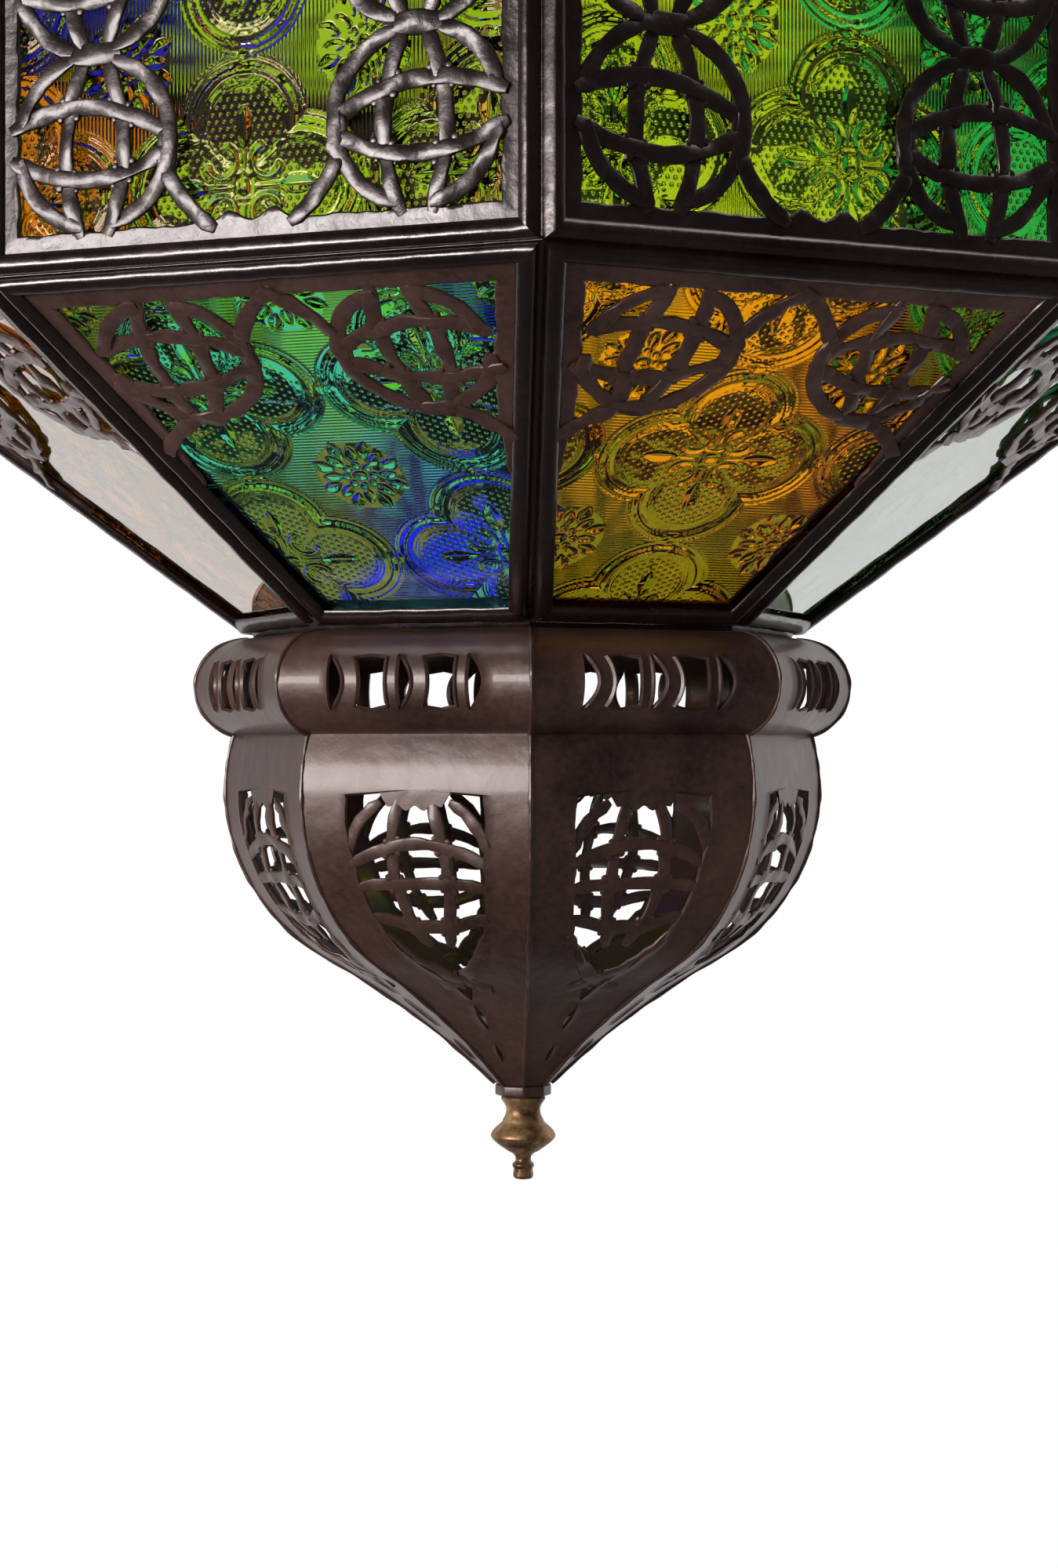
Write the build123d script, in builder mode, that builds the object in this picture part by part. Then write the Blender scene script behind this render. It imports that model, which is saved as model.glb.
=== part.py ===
from build123d import *
import os
from math import atan2, cos, degrees, hypot, radians, sin, sqrt, tan

# Octagonal hanging lantern of patinated sheet metal and coloured pressed glass, in millimetres.
# The origin is where a hook bears inside the hanging ring. +Z is up, and the lantern hangs below.
# Faces are numbered anticlockwise seen from above, and the front corner points along -Y.

# Driving dimensions: body
side_count = 8
belt_radius = 200.0
neck_radius = 85.0
mid_height = 110.0
slope_height = 85.0
door_face = 3
seam = 0.2

# Driving dimensions: cames, which are the grooved strips that hold the panes
lip_start = 1.3
lip_end = 6.6
lip_thick = 1.2
groove_depth = 2.6
came_web = 4.0
inner_lip_end = 7.0
inner_lip_thick = 1.0
rim_lip = 3.0
rim_web = 1.5
rim_inner_lip = 3.5

# Driving dimensions: pierced sheets and glass
sheet_thick = 1.0
glass_thick = 3.0
slot_play = 0.1
edge_play = 0.3
flange = 10.8
strap = 3.4
slope_flange = 11.5
slope_globe_radius = 20.5
filigree_drop = 76.0
filigree_taper = 7.6
globe_foot_angle = 28.0
globe_flat_count = 3
globe_cell_angle = 36.0
corner_cell = 10.5
roof_border = 9.0

# Driving dimensions: collars and the onion gores of the pendant and the dome
bead_radius = 15.2
bead_inset = 1.2
bead_sheet = 1.0
bead_flat_count = 5
slot_height = 18.0
wide_slot = 9.0
narrow_slot = 3.2
slot_bar = 3.4
gore_sheet = 1.0
gore_overhang = 4.1
gore_belly_inset = 1.9
gore_belly_depth = 38.8
gore_turn_share = 0.67
gore_turn_depth = 68.5
gore_tip_apothem = 8.0
gore_height = 106.2
belly_flat_count = 5
ogee_flat_count = 3
gore_border = 13.0
gore_window_top = 15.5
gore_side_top = 31.0
gore_foot_top = 55.0
gore_window_tip = 76.0

# Driving dimensions: hanging ring, loop, crown and lamp
ring_radius = 19.0
ring_bar = 5.0
ring_flat_count = 36
eye_radius = 5.5
eye_wall = 5.0
eye_thick = 6.0
link_drop = 1.5
boss_half = 9.0
boss_height = 24.0
boss_roof = 4.5
nipple_radius = 5.0
nipple_bore = 3.6
nipple_length = 150.0
nipple_engage = 10.0
thread_play = 0.1
cable_radius = 3.6
cap_plate = 3.0
cap_overhang = 2.0
cap_shoulder = 11.0
cap_wall = 1.5
clamp_thick = 4.0
holder_radius = 13.5
holder_height = 45.0
socket_depth = 22.0
bulb_cap_radius = 7.0
bulb_cap_height = 26.0
bulb_radius = 8.8
bulb_length = 62.0

# Driving dimensions: bottom cup and finial
cup_apothem = 8.0
cup_height = 3.4
stud_radius = 2.5
stud_engage = 9.0
stud_end = 4.0
finial_top_radius = 6.9
finial_neck_radius = 5.3
finial_neck_depth = 5.3
finial_bead_radius = 10.0
finial_bead_depth = 12.3
finial_bead_end = 17.0
finial_tip_radius = 3.4
finial_length = 25.6
finial_flat_count = 16

# Driving dimensions: door, its hinge, pull and turn button
door_gap = 0.8
door_lip = 5.3
door_web = 1.2
door_inner_lip = 4.0
door_flange = 14.2
knuckle_half = 1.5
knuckle_length = 14.0
pin_radius = 0.8
pin_play = 0.05
pin_out = 2.6
leaf_width = 5.0
leaf_thick = 0.8
hinge_play = 0.3
button_length = 15.0
button_width = 5.0
button_thick = 1.0
button_lift = 0.4
rivet_radius = 1.2
rivet_head = 4.0
rivet_head_thick = 0.8
pull_size = 6.4
pull_stem_radius = 2.0
pull_stem = 4.0
pull_knob = 5.0
pull_rise = 24.0

# Shared geometry
half_side = radians(180 / side_count)
face_turn = 360 / side_count
first_face = face_turn / 2
belt_apothem = belt_radius * cos(half_side)
neck_apothem = neck_radius * cos(half_side)
belt_half = belt_radius * sin(half_side)
neck_half = neck_radius * sin(half_side)
slope_run = belt_apothem - neck_apothem
slope = atan2(slope_height, slope_run)
slant = hypot(slope_run, slope_height)
side_lean = atan2(belt_half - neck_half, slant)
bead_apothem = neck_apothem - bead_inset
gore_edge_apothem = bead_apothem + gore_overhang

sheet_level = lip_thick + slot_play
glass_level = sheet_level + sheet_thick + slot_play
inner_level = glass_level + glass_thick + slot_play
came_depth = inner_level + inner_lip_thick

# Outer curve of a gore at its middle: distance from the axis against depth from the wide edge
with BuildLine() as gore_curve:
    belly = ThreePointArc(
        (gore_edge_apothem, 0),
        (gore_edge_apothem - gore_belly_inset, gore_belly_depth),
        (gore_edge_apothem * gore_turn_share, gore_turn_depth),
    )
    ogee = TangentArc((belly @ 1), (gore_tip_apothem, gore_height), tangent=belly % 1)


# The curve bent in short flats, on the sheet's outer and inner faces
gore_outside = []
gore_inside = []
for curve, first_step, flat_count in ((belly, 0, belly_flat_count), (ogee, 1, ogee_flat_count)):
    for step in range(first_step, flat_count + 1):
        share = step / flat_count
        inward = (curve % share).rotate(Axis.Z, 90)
        gore_outside.append(curve @ share)
        gore_inside.append(curve @ share + inward * gore_sheet)
gore_reach = max(gore_height, gore_inside[-1].Y)
cap_seat = gore_outside[-2]
clamp_seat = gore_inside[-2]

# How far a gore's edge reaches past the end of its collar's bead, to sit on the bead's last flat
gore_lap = (gore_edge_apothem - gore_sheet - bead_apothem) * tan(radians(90 / bead_flat_count))

# Heights, from the ring down to the finial
ring_z = -(ring_radius - ring_bar / 2)
link_z = ring_z - ring_radius
eye_z = link_z - link_drop
boss_top_z = eye_z - eye_radius - eye_wall
boss_bottom_z = boss_top_z - boss_height
cap_top_z = boss_bottom_z - seam
dome_tip_z = cap_top_z - cap_plate - seam
dome_edge_z = dome_tip_z - gore_reach
upper_bead_z = dome_edge_z + gore_lap - seam - bead_radius
upper_neck_z = upper_bead_z - bead_radius - seam
upper_belt_z = upper_neck_z - slope_height
lower_belt_z = upper_belt_z - mid_height
lower_neck_z = lower_belt_z - slope_height
lower_bead_z = lower_neck_z - seam - bead_radius
pendant_edge_z = lower_bead_z - bead_radius + gore_lap - seam
pendant_tip_z = pendant_edge_z - gore_reach
cup_bottom_z = pendant_tip_z - seam - cup_height
nipple_top_z = boss_bottom_z + nipple_engage
holder_top_z = nipple_top_z - nipple_length + nipple_engage
holder_bottom_z = holder_top_z - holder_height
bulb_seat_z = holder_bottom_z + socket_depth

os.makedirs("parts", exist_ok=True)


def save(builder, name):
    builder.part.label = name
    export_step(builder.part, f"parts/{name}.step")


# Both mitre planes of a strip that faces +X, half a seam inside the corners
mitres = [
    Plane(origin=Vector(sin(half_side), y, 0) * seam / 2, z_dir=(sin(half_side), y, 0))
    for y in (-cos(half_side), cos(half_side))
]


# Section of a came where two panes meet, in a plane whose x axis points out along the bisector
def came_section(half_angle):
    def place(along, inward):
        return (
            -along * cos(half_angle) - inward * sin(half_angle),
            along * sin(half_angle) - inward * cos(half_angle),
        )

    side = [
        place(lip_start, 0),
        place(lip_end, 0),
        place(lip_end, lip_thick),
        place(came_web, lip_thick),
        place(came_web, inner_level),
        place(inner_lip_end, inner_level),
    ]
    other_side = [(x, -y) for x, y in reversed(side)]
    return [(-groove_depth, 0)] + side + other_side


# Points on an arc, evenly spaced, for round edges that are cut or bent in short flats
def flats_on_arc(centre, radius, start, end, count):
    steps = [radians(start + (end - start) * step / count) for step in range(count + 1)]
    return [(centre[0] + radius * cos(step), centre[1] + radius * sin(step)) for step in steps]


# Belt strip on one side of the octagon. upward is 1 for the roof's belt and -1 for the lower one
def belt_strip(height, upward):
    half_angle = (radians(90) + slope) / 2
    section = Plane(
        origin=(belt_apothem, 0, height),
        x_dir=(sin(half_angle), 0, upward * cos(half_angle)),
        z_dir=(0, 1, 0),
    )
    with BuildPart() as strip:
        with BuildSketch(section):
            Polygon(*came_section(half_angle))
        extrude(amount=belt_half, both=True)
        for mitre in mitres:
            split(bisect_by=mitre)
    return strip.part


# Slanted corner bar, cut square to both faces where it meets the belt and the neck rim
def slanted_bar(belt_z, neck_z, upward):
    bar_length = hypot(belt_radius - neck_radius, slope_height)
    out = Vector(slope_height, 0, upward * (belt_radius - neck_radius)) / bar_length
    along = Vector(neck_radius - belt_radius, 0, upward * slope_height) / bar_length
    face_out = Vector(
        sin(slope) * cos(half_side), sin(slope) * sin(half_side), upward * cos(slope)
    )
    half_angle = atan2(face_out.dot(out), face_out.Y)
    with BuildPart() as bar:
        with BuildSketch(Plane(origin=(belt_radius, 0, belt_z), x_dir=out, z_dir=along)):
            Polygon(*came_section(half_angle))
        extrude(amount=bar_length)
        for turn in (-half_side, half_side):
            face_x, face_y = cos(turn), sin(turn)
            rise = Vector(cos(slope) * face_x, cos(slope) * face_y, -upward * sin(slope))
            neck_edge = Vector(neck_apothem * face_x, neck_apothem * face_y, neck_z)
            belt_edge = Vector(belt_apothem * face_x, belt_apothem * face_y, belt_z)
            split(bisect_by=Plane(origin=neck_edge + rise * (rim_inner_lip + seam), z_dir=rise))
            split(bisect_by=Plane(origin=belt_edge - rise * (inner_lip_end + seam), z_dir=-rise))
    return bar.part


# Channel that holds the narrow edge of a slanted pane
def neck_rim_strip(neck_z, upward):
    def place(along, inward):
        return (
            neck_apothem + along * cos(slope) - inward * sin(slope),
            neck_z - upward * (along * sin(slope) + inward * cos(slope)),
        )

    with BuildPart() as strip:
        with BuildSketch(Plane.XZ):
            Polygon(
                place(0, 0),
                place(rim_lip, 0),
                place(rim_lip, lip_thick),
                place(rim_web, lip_thick),
                place(rim_web, inner_level),
                place(rim_inner_lip, inner_level),
                place(rim_inner_lip, came_depth),
                place(0, came_depth),
            )
        extrude(amount=neck_half, both=True)
        for mitre in mitres:
            split(bisect_by=mitre)
    return strip.part


# Half-round hollow bead between a neck and its gores, bent in flats
def collar_strip(height, slotted):
    centre = (bead_apothem, height)
    outside = flats_on_arc(centre, bead_radius, -90, 90, bead_flat_count)
    inside = flats_on_arc(centre, bead_radius - bead_sheet, 90, -90, bead_flat_count)
    slot_step = (wide_slot + narrow_slot) / 2 + slot_bar
    with BuildPart() as strip:
        with BuildSketch(Plane.XZ):
            Polygon(*outside, *inside)
        extrude(amount=neck_radius, both=True)
        for mitre in mitres:
            split(bisect_by=mitre)
        if slotted:
            front = Plane(origin=(bead_apothem, 0, height), x_dir=(0, 1, 0), z_dir=(1, 0, 0))
            with BuildSketch(front):
                Rectangle(narrow_slot, slot_height)
                with GridLocations(2 * slot_step, 0, 2, 1):
                    Rectangle(wide_slot, slot_height)
            extrude(amount=bead_radius, mode=Mode.SUBTRACT)
    return strip.part


# Half the width left for a gore's window at a depth
def window_half(depth):
    centre = belly.arc_center
    apothem = centre.X + sqrt(belly.radius**2 - (depth - centre.Y) ** 2)
    return apothem * tan(half_side) - gore_border


# Chisel-cut cells of a gore's window: two corners, the woven globe between them, and its foot
def gore_cells():
    column = window_half(gore_window_top) / 3
    globe_end = gore_foot_top - strap
    centre = [
        (-column, gore_window_top + strap),
        (column, gore_window_top + strap),
        (column, globe_end),
        (-column, globe_end),
    ]
    foot_half = window_half(gore_foot_top)
    foot = [(-foot_half, gore_foot_top), (foot_half, gore_foot_top), (0, gore_window_tip)]
    corner = [
        (window_half(gore_window_top), gore_window_top),
        (window_half(gore_window_top) - corner_cell, gore_window_top),
        (window_half(gore_window_top + corner_cell), gore_window_top + corner_cell),
    ]
    side = [
        (column + strap, gore_side_top),
        (window_half(gore_side_top), gore_side_top),
        (window_half(globe_end), globe_end),
        (column + strap, globe_end),
    ]
    mirrored = [[(-across, depth) for across, depth in cell] for cell in (corner, side)]
    return [centre, foot, corner, side, *mirrored]


# One gore of the pendant or the dome, bent in short flats along its curve
def gore(edge_z, upward):
    section = Plane(origin=(0, 0, edge_z), x_dir=(1, 0, 0), z_dir=(0, -upward, 0))
    with BuildPart() as sheet:
        with BuildSketch(section):
            Polygon(*gore_outside, *reversed(gore_inside))
        extrude(amount=neck_radius, both=True)
        for mitre in mitres:
            split(bisect_by=mitre)
    return sheet.part


# Outline of a slanted pane or sheet, in a face plane with y running from the neck to the belt
def slant_half_width(y, inset):
    return neck_half + (belt_half - neck_half) * y / slant - inset / cos(side_lean)


def slant_outline(low, high, inset):
    return [
        (-slant_half_width(low, inset), low),
        (slant_half_width(low, inset), low),
        (slant_half_width(high, inset), high),
        (-slant_half_width(high, inset), high),
    ]


def slanted_face(neck_z, upward, level):
    face = Plane(
        origin=(neck_apothem, 0, neck_z),
        x_dir=(0, -upward, 0),
        z_dir=(sin(slope), 0, upward * cos(slope)),
    )
    return face.offset(-level)


def upright_face(level):
    return Plane(origin=(belt_apothem - level, 0, lower_belt_z), x_dir=(0, 1, 0), z_dir=(1, 0, 0))


pane_inset = came_web + edge_play
rim_inset = rim_web + edge_play


def slanted_pane(neck_z, upward):
    with BuildPart() as pane:
        with BuildSketch(slanted_face(neck_z, upward, glass_level + glass_thick)):
            Polygon(*slant_outline(rim_inset, slant - pane_inset, pane_inset))
        extrude(amount=glass_thick)
    return pane.part


def upright_pane(inset):
    with BuildPart() as pane:
        with BuildSketch(upright_face(glass_level + glass_thick)):
            with Locations((0, mid_height / 2)):
                Rectangle(2 * (belt_half - inset), mid_height - 2 * inset)
        extrude(amount=glass_thick)
    return pane.part


# Cell of a globe: one half of it, beside the strap that crosses its ring
def globe_cell(radius):
    inner = radius - strap
    edge = strap / 2
    reach = sqrt(inner**2 - edge**2)
    round_x = inner * cos(radians(globe_cell_angle))
    round_y = inner * sin(radians(globe_cell_angle))
    return [(edge, -reach), (round_x, -round_y), (round_x, round_y), (edge, reach)]


# Pierced sheet of an upright pane: a globe in each corner, and an open middle between them
def upright_filigree(inset, border):
    radius = (mid_height - 2 * border) / 4
    globe_x = belt_half - border - radius
    globe_heights = (border + radius, mid_height - border - radius)
    edge_x = globe_x - radius * sin(radians(globe_foot_angle))
    right_edge = [(edge_x, border)]
    for globe_y in globe_heights:
        right_edge += flats_on_arc(
            (globe_x, globe_y), radius, 270 - globe_foot_angle, 90 + globe_foot_angle, globe_flat_count
        )
    right_edge.append((edge_x, mid_height - border))
    left_edge = [(-x, y) for x, y in reversed(right_edge)]
    with BuildPart() as sheet:
        with BuildSketch(upright_face(sheet_level + sheet_thick)):
            with Locations((0, mid_height / 2)):
                Rectangle(2 * (belt_half - inset), mid_height - 2 * inset)
            Polygon(*right_edge, *left_edge, mode=Mode.SUBTRACT)
            with Locations(*[(side * globe_x, y) for side in (-1, 1) for y in globe_heights]):
                with PolarLocations(0, 2):
                    Polygon(*globe_cell(radius), mode=Mode.SUBTRACT)
        extrude(amount=sheet_thick)
    return sheet.part


# Pierced sheet of a lower pane: a globe in both upper corners, on flanges that taper downwards
def lower_filigree_sheet():
    low = slant - filigree_drop
    top = slant - slope_flange
    radius = slope_globe_radius
    globe_y = top - radius
    globe_x = slant_half_width(globe_y, slope_flange + radius)
    side_angle = 360 - degrees(side_lean) - globe_foot_angle
    globe_edge = flats_on_arc(
        (globe_x, globe_y), radius, side_angle, 90 + globe_foot_angle, 2 * globe_flat_count
    )
    side_foot_y = globe_edge[0][1]
    right_edge = [
        (slant_half_width(low - strap, filigree_taper), low - strap),
        (slant_half_width(side_foot_y, slope_flange), side_foot_y),
        *globe_edge,
        (globe_edge[-1][0], top),
    ]
    left_edge = [(-x, y) for x, y in reversed(right_edge)]
    with BuildPart() as sheet:
        with BuildSketch(slanted_face(lower_neck_z, -1, sheet_level + sheet_thick)):
            Polygon(*slant_outline(low, slant - pane_inset, pane_inset))
            Polygon(*right_edge, *left_edge, mode=Mode.SUBTRACT)
            with Locations((globe_x, globe_y), (-globe_x, globe_y)):
                with PolarLocations(0, 2):
                    Polygon(*globe_cell(radius), mode=Mode.SUBTRACT)
        extrude(amount=sheet_thick)
    return sheet.part


# Plain flange sheet that fills the cames of a roof pane
def roof_border_sheet():
    with BuildPart() as sheet:
        with BuildSketch(slanted_face(upper_neck_z, 1, sheet_level + sheet_thick)):
            Polygon(*slant_outline(rim_inset, slant - pane_inset, pane_inset))
            Polygon(
                *slant_outline(roof_border, slant - roof_border, roof_border), mode=Mode.SUBTRACT
            )
        extrude(amount=sheet_thick)
    return sheet.part


# Hanging ring forged from square bar in short flats, in the YZ plane
with BuildPart() as hanging_ring:
    with BuildSketch(Plane.YZ.offset(-ring_bar / 2)):
        with Locations((0, ring_z)):
            RegularPolygon(ring_radius + ring_bar / 2, ring_flat_count)
            RegularPolygon(ring_radius - ring_bar / 2, ring_flat_count, mode=Mode.SUBTRACT)
    extrude(amount=ring_bar)
save(hanging_ring, "hanging_ring")

# Cast loop: a drilled lug on a hollow square boss, with a side hole for the cable
cable_z = boss_bottom_z + (nipple_engage + boss_height - boss_roof) / 2
with BuildPart() as top_loop:
    with BuildSketch(Plane.XZ.offset(-eye_thick / 2)):
        with Locations((0, eye_z)):
            RegularPolygon(eye_radius + eye_wall, side_count, major_radius=False, rotation=first_face)
        with Locations((0, (eye_z + boss_top_z) / 2)):
            Rectangle(2 * boss_half, eye_z - boss_top_z)
        with Locations((0, eye_z)):
            Circle(eye_radius, mode=Mode.SUBTRACT)
    extrude(amount=eye_thick)
    with BuildSketch(Plane.XY.offset(boss_bottom_z)):
        Rectangle(2 * boss_half, 2 * boss_half)
    extrude(amount=boss_height)
    with BuildSketch(Plane.XY.offset(boss_bottom_z)):
        Circle(nipple_radius + thread_play)
    extrude(amount=boss_height - boss_roof, mode=Mode.SUBTRACT)
    with BuildSketch(Plane(origin=(0, 0, cable_z), x_dir=(-1, 0, 0), z_dir=(0, 1, 0))):
        Circle(cable_radius)
    extrude(amount=2 * boss_half, mode=Mode.SUBTRACT)
save(top_loop, "top_loop")


# Flat-sided plate or cap whose sides match the octagon's faces
def octagon(height, apothem):
    with BuildSketch(Plane.XY.offset(height)) as outline:
        RegularPolygon(apothem, side_count, major_radius=False)
    return outline.sketch


# Wedge of a many-sided cap or finial, from its profile at the middle of a side
def flat_sided(profile, sides):
    half_turn = radians(180 / sides)
    with BuildPart() as wedge:
        with BuildSketch(Plane.XZ):
            Polygon(*profile)
        extrude(amount=neck_radius, both=True)
        for y in (-cos(half_turn), cos(half_turn)):
            split(bisect_by=Plane(origin=(0, 0, 0), z_dir=(sin(half_turn), y, 0)))
    return wedge.part


# Folded crown cap, whose rim sits on the dome
cap_rim_z = dome_edge_z + cap_seat.Y + seam
cap_wedge = flat_sided(
    [
        (nipple_radius / 2, cap_top_z),
        (cap_shoulder, cap_top_z),
        (cap_seat.X + cap_overhang, cap_rim_z),
        (cap_seat.X + cap_overhang - cap_wall, cap_rim_z),
        (cap_shoulder - cap_wall, cap_top_z - cap_plate),
        (nipple_radius / 2, cap_top_z - cap_plate),
    ],
    side_count,
)
with BuildPart() as crown_cap:
    with PolarLocations(0, side_count, start_angle=first_face):
        add(cap_wedge)
    with BuildSketch(Plane.XY.offset(cap_rim_z)):
        Circle(nipple_radius + thread_play)
    extrude(amount=cap_top_z - cap_rim_z, mode=Mode.SUBTRACT)
save(crown_cap, "crown_cap")

# Tapped plate that clamps the dome against the crown cap from inside
dome_clamp_z = dome_edge_z + clamp_seat.Y - clamp_thick
with BuildPart() as dome_clamp:
    extrude(octagon(dome_clamp_z, clamp_seat.X - seam), amount=clamp_thick)
    with BuildSketch(Plane.XY.offset(dome_clamp_z)):
        Circle(nipple_radius + thread_play)
    extrude(amount=clamp_thick, mode=Mode.SUBTRACT)
save(dome_clamp, "dome_clamp")

# Hollow threaded tube that carries the lamp holder
with BuildPart() as lamp_nipple:
    with BuildSketch(Plane.XY.offset(nipple_top_z - nipple_length)):
        Circle(nipple_radius)
        Circle(nipple_bore, mode=Mode.SUBTRACT)
    extrude(amount=nipple_length)
save(lamp_nipple, "lamp_nipple")

# Lamp holder with a faceted skirt and an open socket
with BuildPart() as lamp_holder:
    with BuildSketch(Plane.XY.offset(holder_bottom_z)):
        RegularPolygon(holder_radius, side_count)
    extrude(amount=holder_height)
    with BuildSketch(Plane.XY.offset(holder_bottom_z)):
        Circle(bulb_cap_radius + edge_play)
    extrude(amount=socket_depth, mode=Mode.SUBTRACT)
    with BuildSketch(Plane.XY.offset(bulb_seat_z)):
        Circle(nipple_radius + thread_play)
    extrude(amount=holder_height - socket_depth, mode=Mode.SUBTRACT)
save(lamp_holder, "lamp_holder")

# Tubular bulb: a screw cap and a glass tube
bulb_cap_bottom_z = bulb_seat_z - seam - bulb_cap_height
with BuildPart() as bulb_cap:
    with BuildSketch(Plane.XY.offset(bulb_cap_bottom_z)):
        Circle(bulb_cap_radius)
    extrude(amount=bulb_cap_height)
save(bulb_cap, "bulb_cap")

bulb_bottom_z = bulb_cap_bottom_z - seam - bulb_length
with BuildPart() as bulb_tube:
    with BuildSketch(Plane.XY.offset(bulb_bottom_z)):
        Circle(bulb_radius)
    extrude(amount=bulb_length)
save(bulb_tube, "bulb_tube")

# Dome and pendant of eight gores each, and the two collars beside them
dome_gore = gore(dome_edge_z, 1)
with BuildPart() as dome_gores:
    with PolarLocations(0, side_count, start_angle=first_face):
        add(dome_gore)
save(dome_gores, "dome_gores")

upper_collar_strip = collar_strip(upper_bead_z, slotted=False)
with BuildPart() as upper_collar:
    with PolarLocations(0, side_count, start_angle=first_face):
        add(upper_collar_strip)
save(upper_collar, "upper_collar")

lower_collar_strip = collar_strip(lower_bead_z, slotted=True)
with BuildPart() as lower_collar:
    with PolarLocations(0, side_count, start_angle=first_face):
        add(lower_collar_strip)
save(lower_collar, "lower_collar")

pendant_sheet = gore(pendant_edge_z, -1)
pendant_front = Plane(origin=(0, 0, pendant_edge_z), x_dir=(0, -1, 0), z_dir=(1, 0, 0))
with BuildPart() as pendant_gore:
    add(pendant_sheet)
    with BuildSketch(pendant_front):
        for cell in gore_cells():
            Polygon(*cell)
    extrude(amount=belt_radius, mode=Mode.SUBTRACT)
with BuildPart() as pendant_gores:
    with PolarLocations(0, side_count, start_angle=first_face):
        add(pendant_gore.part)
save(pendant_gores, "pendant_gores")

# Roof: neck rim, slanted bars, flange sheets and panes
upper_rim_strip = neck_rim_strip(upper_neck_z, 1)
with BuildPart() as upper_rim:
    with PolarLocations(0, side_count, start_angle=first_face):
        add(upper_rim_strip)
save(upper_rim, "upper_rim")

roof_bar = slanted_bar(upper_belt_z, upper_neck_z, 1)
with BuildPart() as roof_bars:
    with PolarLocations(0, side_count):
        add(roof_bar)
save(roof_bars, "roof_bars")

roof_sheet = roof_border_sheet()
with BuildPart() as roof_borders:
    with PolarLocations(0, side_count, start_angle=first_face):
        add(roof_sheet)
save(roof_borders, "roof_borders")

roof_glass = slanted_pane(upper_neck_z, 1)
for face in range(1, side_count + 1):
    with BuildPart() as roof_pane:
        add(roof_glass, rotation=(0, 0, first_face + face_turn * (face - 1)))
    save(roof_pane, f"roof_pane_{face}")

# Upright tier: two belts, eight posts, and all but the door's sheet and pane
upper_belt_strip = belt_strip(upper_belt_z, 1)
with BuildPart() as upper_belt:
    with PolarLocations(0, side_count, start_angle=first_face):
        add(upper_belt_strip)
save(upper_belt, "upper_belt")

lower_belt_strip = belt_strip(lower_belt_z, -1)
with BuildPart() as lower_belt:
    with PolarLocations(0, side_count, start_angle=first_face):
        add(lower_belt_strip)
save(lower_belt, "lower_belt")

post_foot = inner_lip_end + seam
with BuildPart() as post:
    with BuildSketch(Plane(origin=(belt_radius, 0, lower_belt_z + post_foot), z_dir=(0, 0, 1))):
        Polygon(*came_section(radians(90) - half_side))
    extrude(amount=mid_height - 2 * post_foot)
with BuildPart() as corner_posts:
    with PolarLocations(0, side_count):
        add(post.part)
save(corner_posts, "corner_posts")

upright_glass = upright_pane(pane_inset)
upright_sheet = upright_filigree(pane_inset, flange)
plain_faces = [face for face in range(1, side_count + 1) if face != door_face]
with BuildPart() as upright_filigrees:
    for face in plain_faces:
        add(upright_sheet, rotation=(0, 0, first_face + face_turn * (face - 1)))
save(upright_filigrees, "upright_filigrees")
for face in plain_faces:
    with BuildPart() as upright_pane_piece:
        add(upright_glass, rotation=(0, 0, first_face + face_turn * (face - 1)))
    save(upright_pane_piece, f"upright_pane_{face}")

# Lower tier: slanted bars, neck rim, pierced sheets and panes
lower_bar = slanted_bar(lower_belt_z, lower_neck_z, -1)
with BuildPart() as lower_bars:
    with PolarLocations(0, side_count):
        add(lower_bar)
save(lower_bars, "lower_bars")

lower_rim_strip = neck_rim_strip(lower_neck_z, -1)
with BuildPart() as lower_rim:
    with PolarLocations(0, side_count, start_angle=first_face):
        add(lower_rim_strip)
save(lower_rim, "lower_rim")

lower_sheet = lower_filigree_sheet()
with BuildPart() as lower_filigrees:
    with PolarLocations(0, side_count, start_angle=first_face):
        add(lower_sheet)
save(lower_filigrees, "lower_filigrees")

lower_glass = slanted_pane(lower_neck_z, -1)
for face in range(1, side_count + 1):
    with BuildPart() as lower_pane:
        add(lower_glass, rotation=(0, 0, first_face + face_turn * (face - 1)))
    save(lower_pane, f"lower_pane_{face}")

# Bottom: a cup under the gores' tips, and a tapped plate inside, drawn together by a stud
stud_hole = stud_radius + thread_play
with BuildPart() as pendant_cup:
    extrude(octagon(cup_bottom_z, cup_apothem), amount=cup_height)
    with BuildSketch(Plane.XY.offset(cup_bottom_z)):
        Circle(stud_hole)
    extrude(amount=cup_height, mode=Mode.SUBTRACT)
save(pendant_cup, "pendant_cup")

pendant_clamp_z = pendant_edge_z - clamp_seat.Y
with BuildPart() as pendant_clamp:
    extrude(octagon(pendant_clamp_z, clamp_seat.X - seam), amount=clamp_thick)
    with BuildSketch(Plane.XY.offset(pendant_clamp_z)):
        Circle(stud_hole)
    extrude(amount=clamp_thick, mode=Mode.SUBTRACT)
save(pendant_clamp, "pendant_clamp")

finial_top_z = cup_bottom_z - seam
stud_bottom_z = finial_top_z - stud_engage
with BuildPart() as finial_stud:
    with BuildSketch(Plane.XY.offset(stud_bottom_z)):
        Circle(stud_radius)
    extrude(amount=pendant_clamp_z + clamp_thick + stud_end - stud_bottom_z)
save(finial_stud, "finial_stud")

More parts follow.
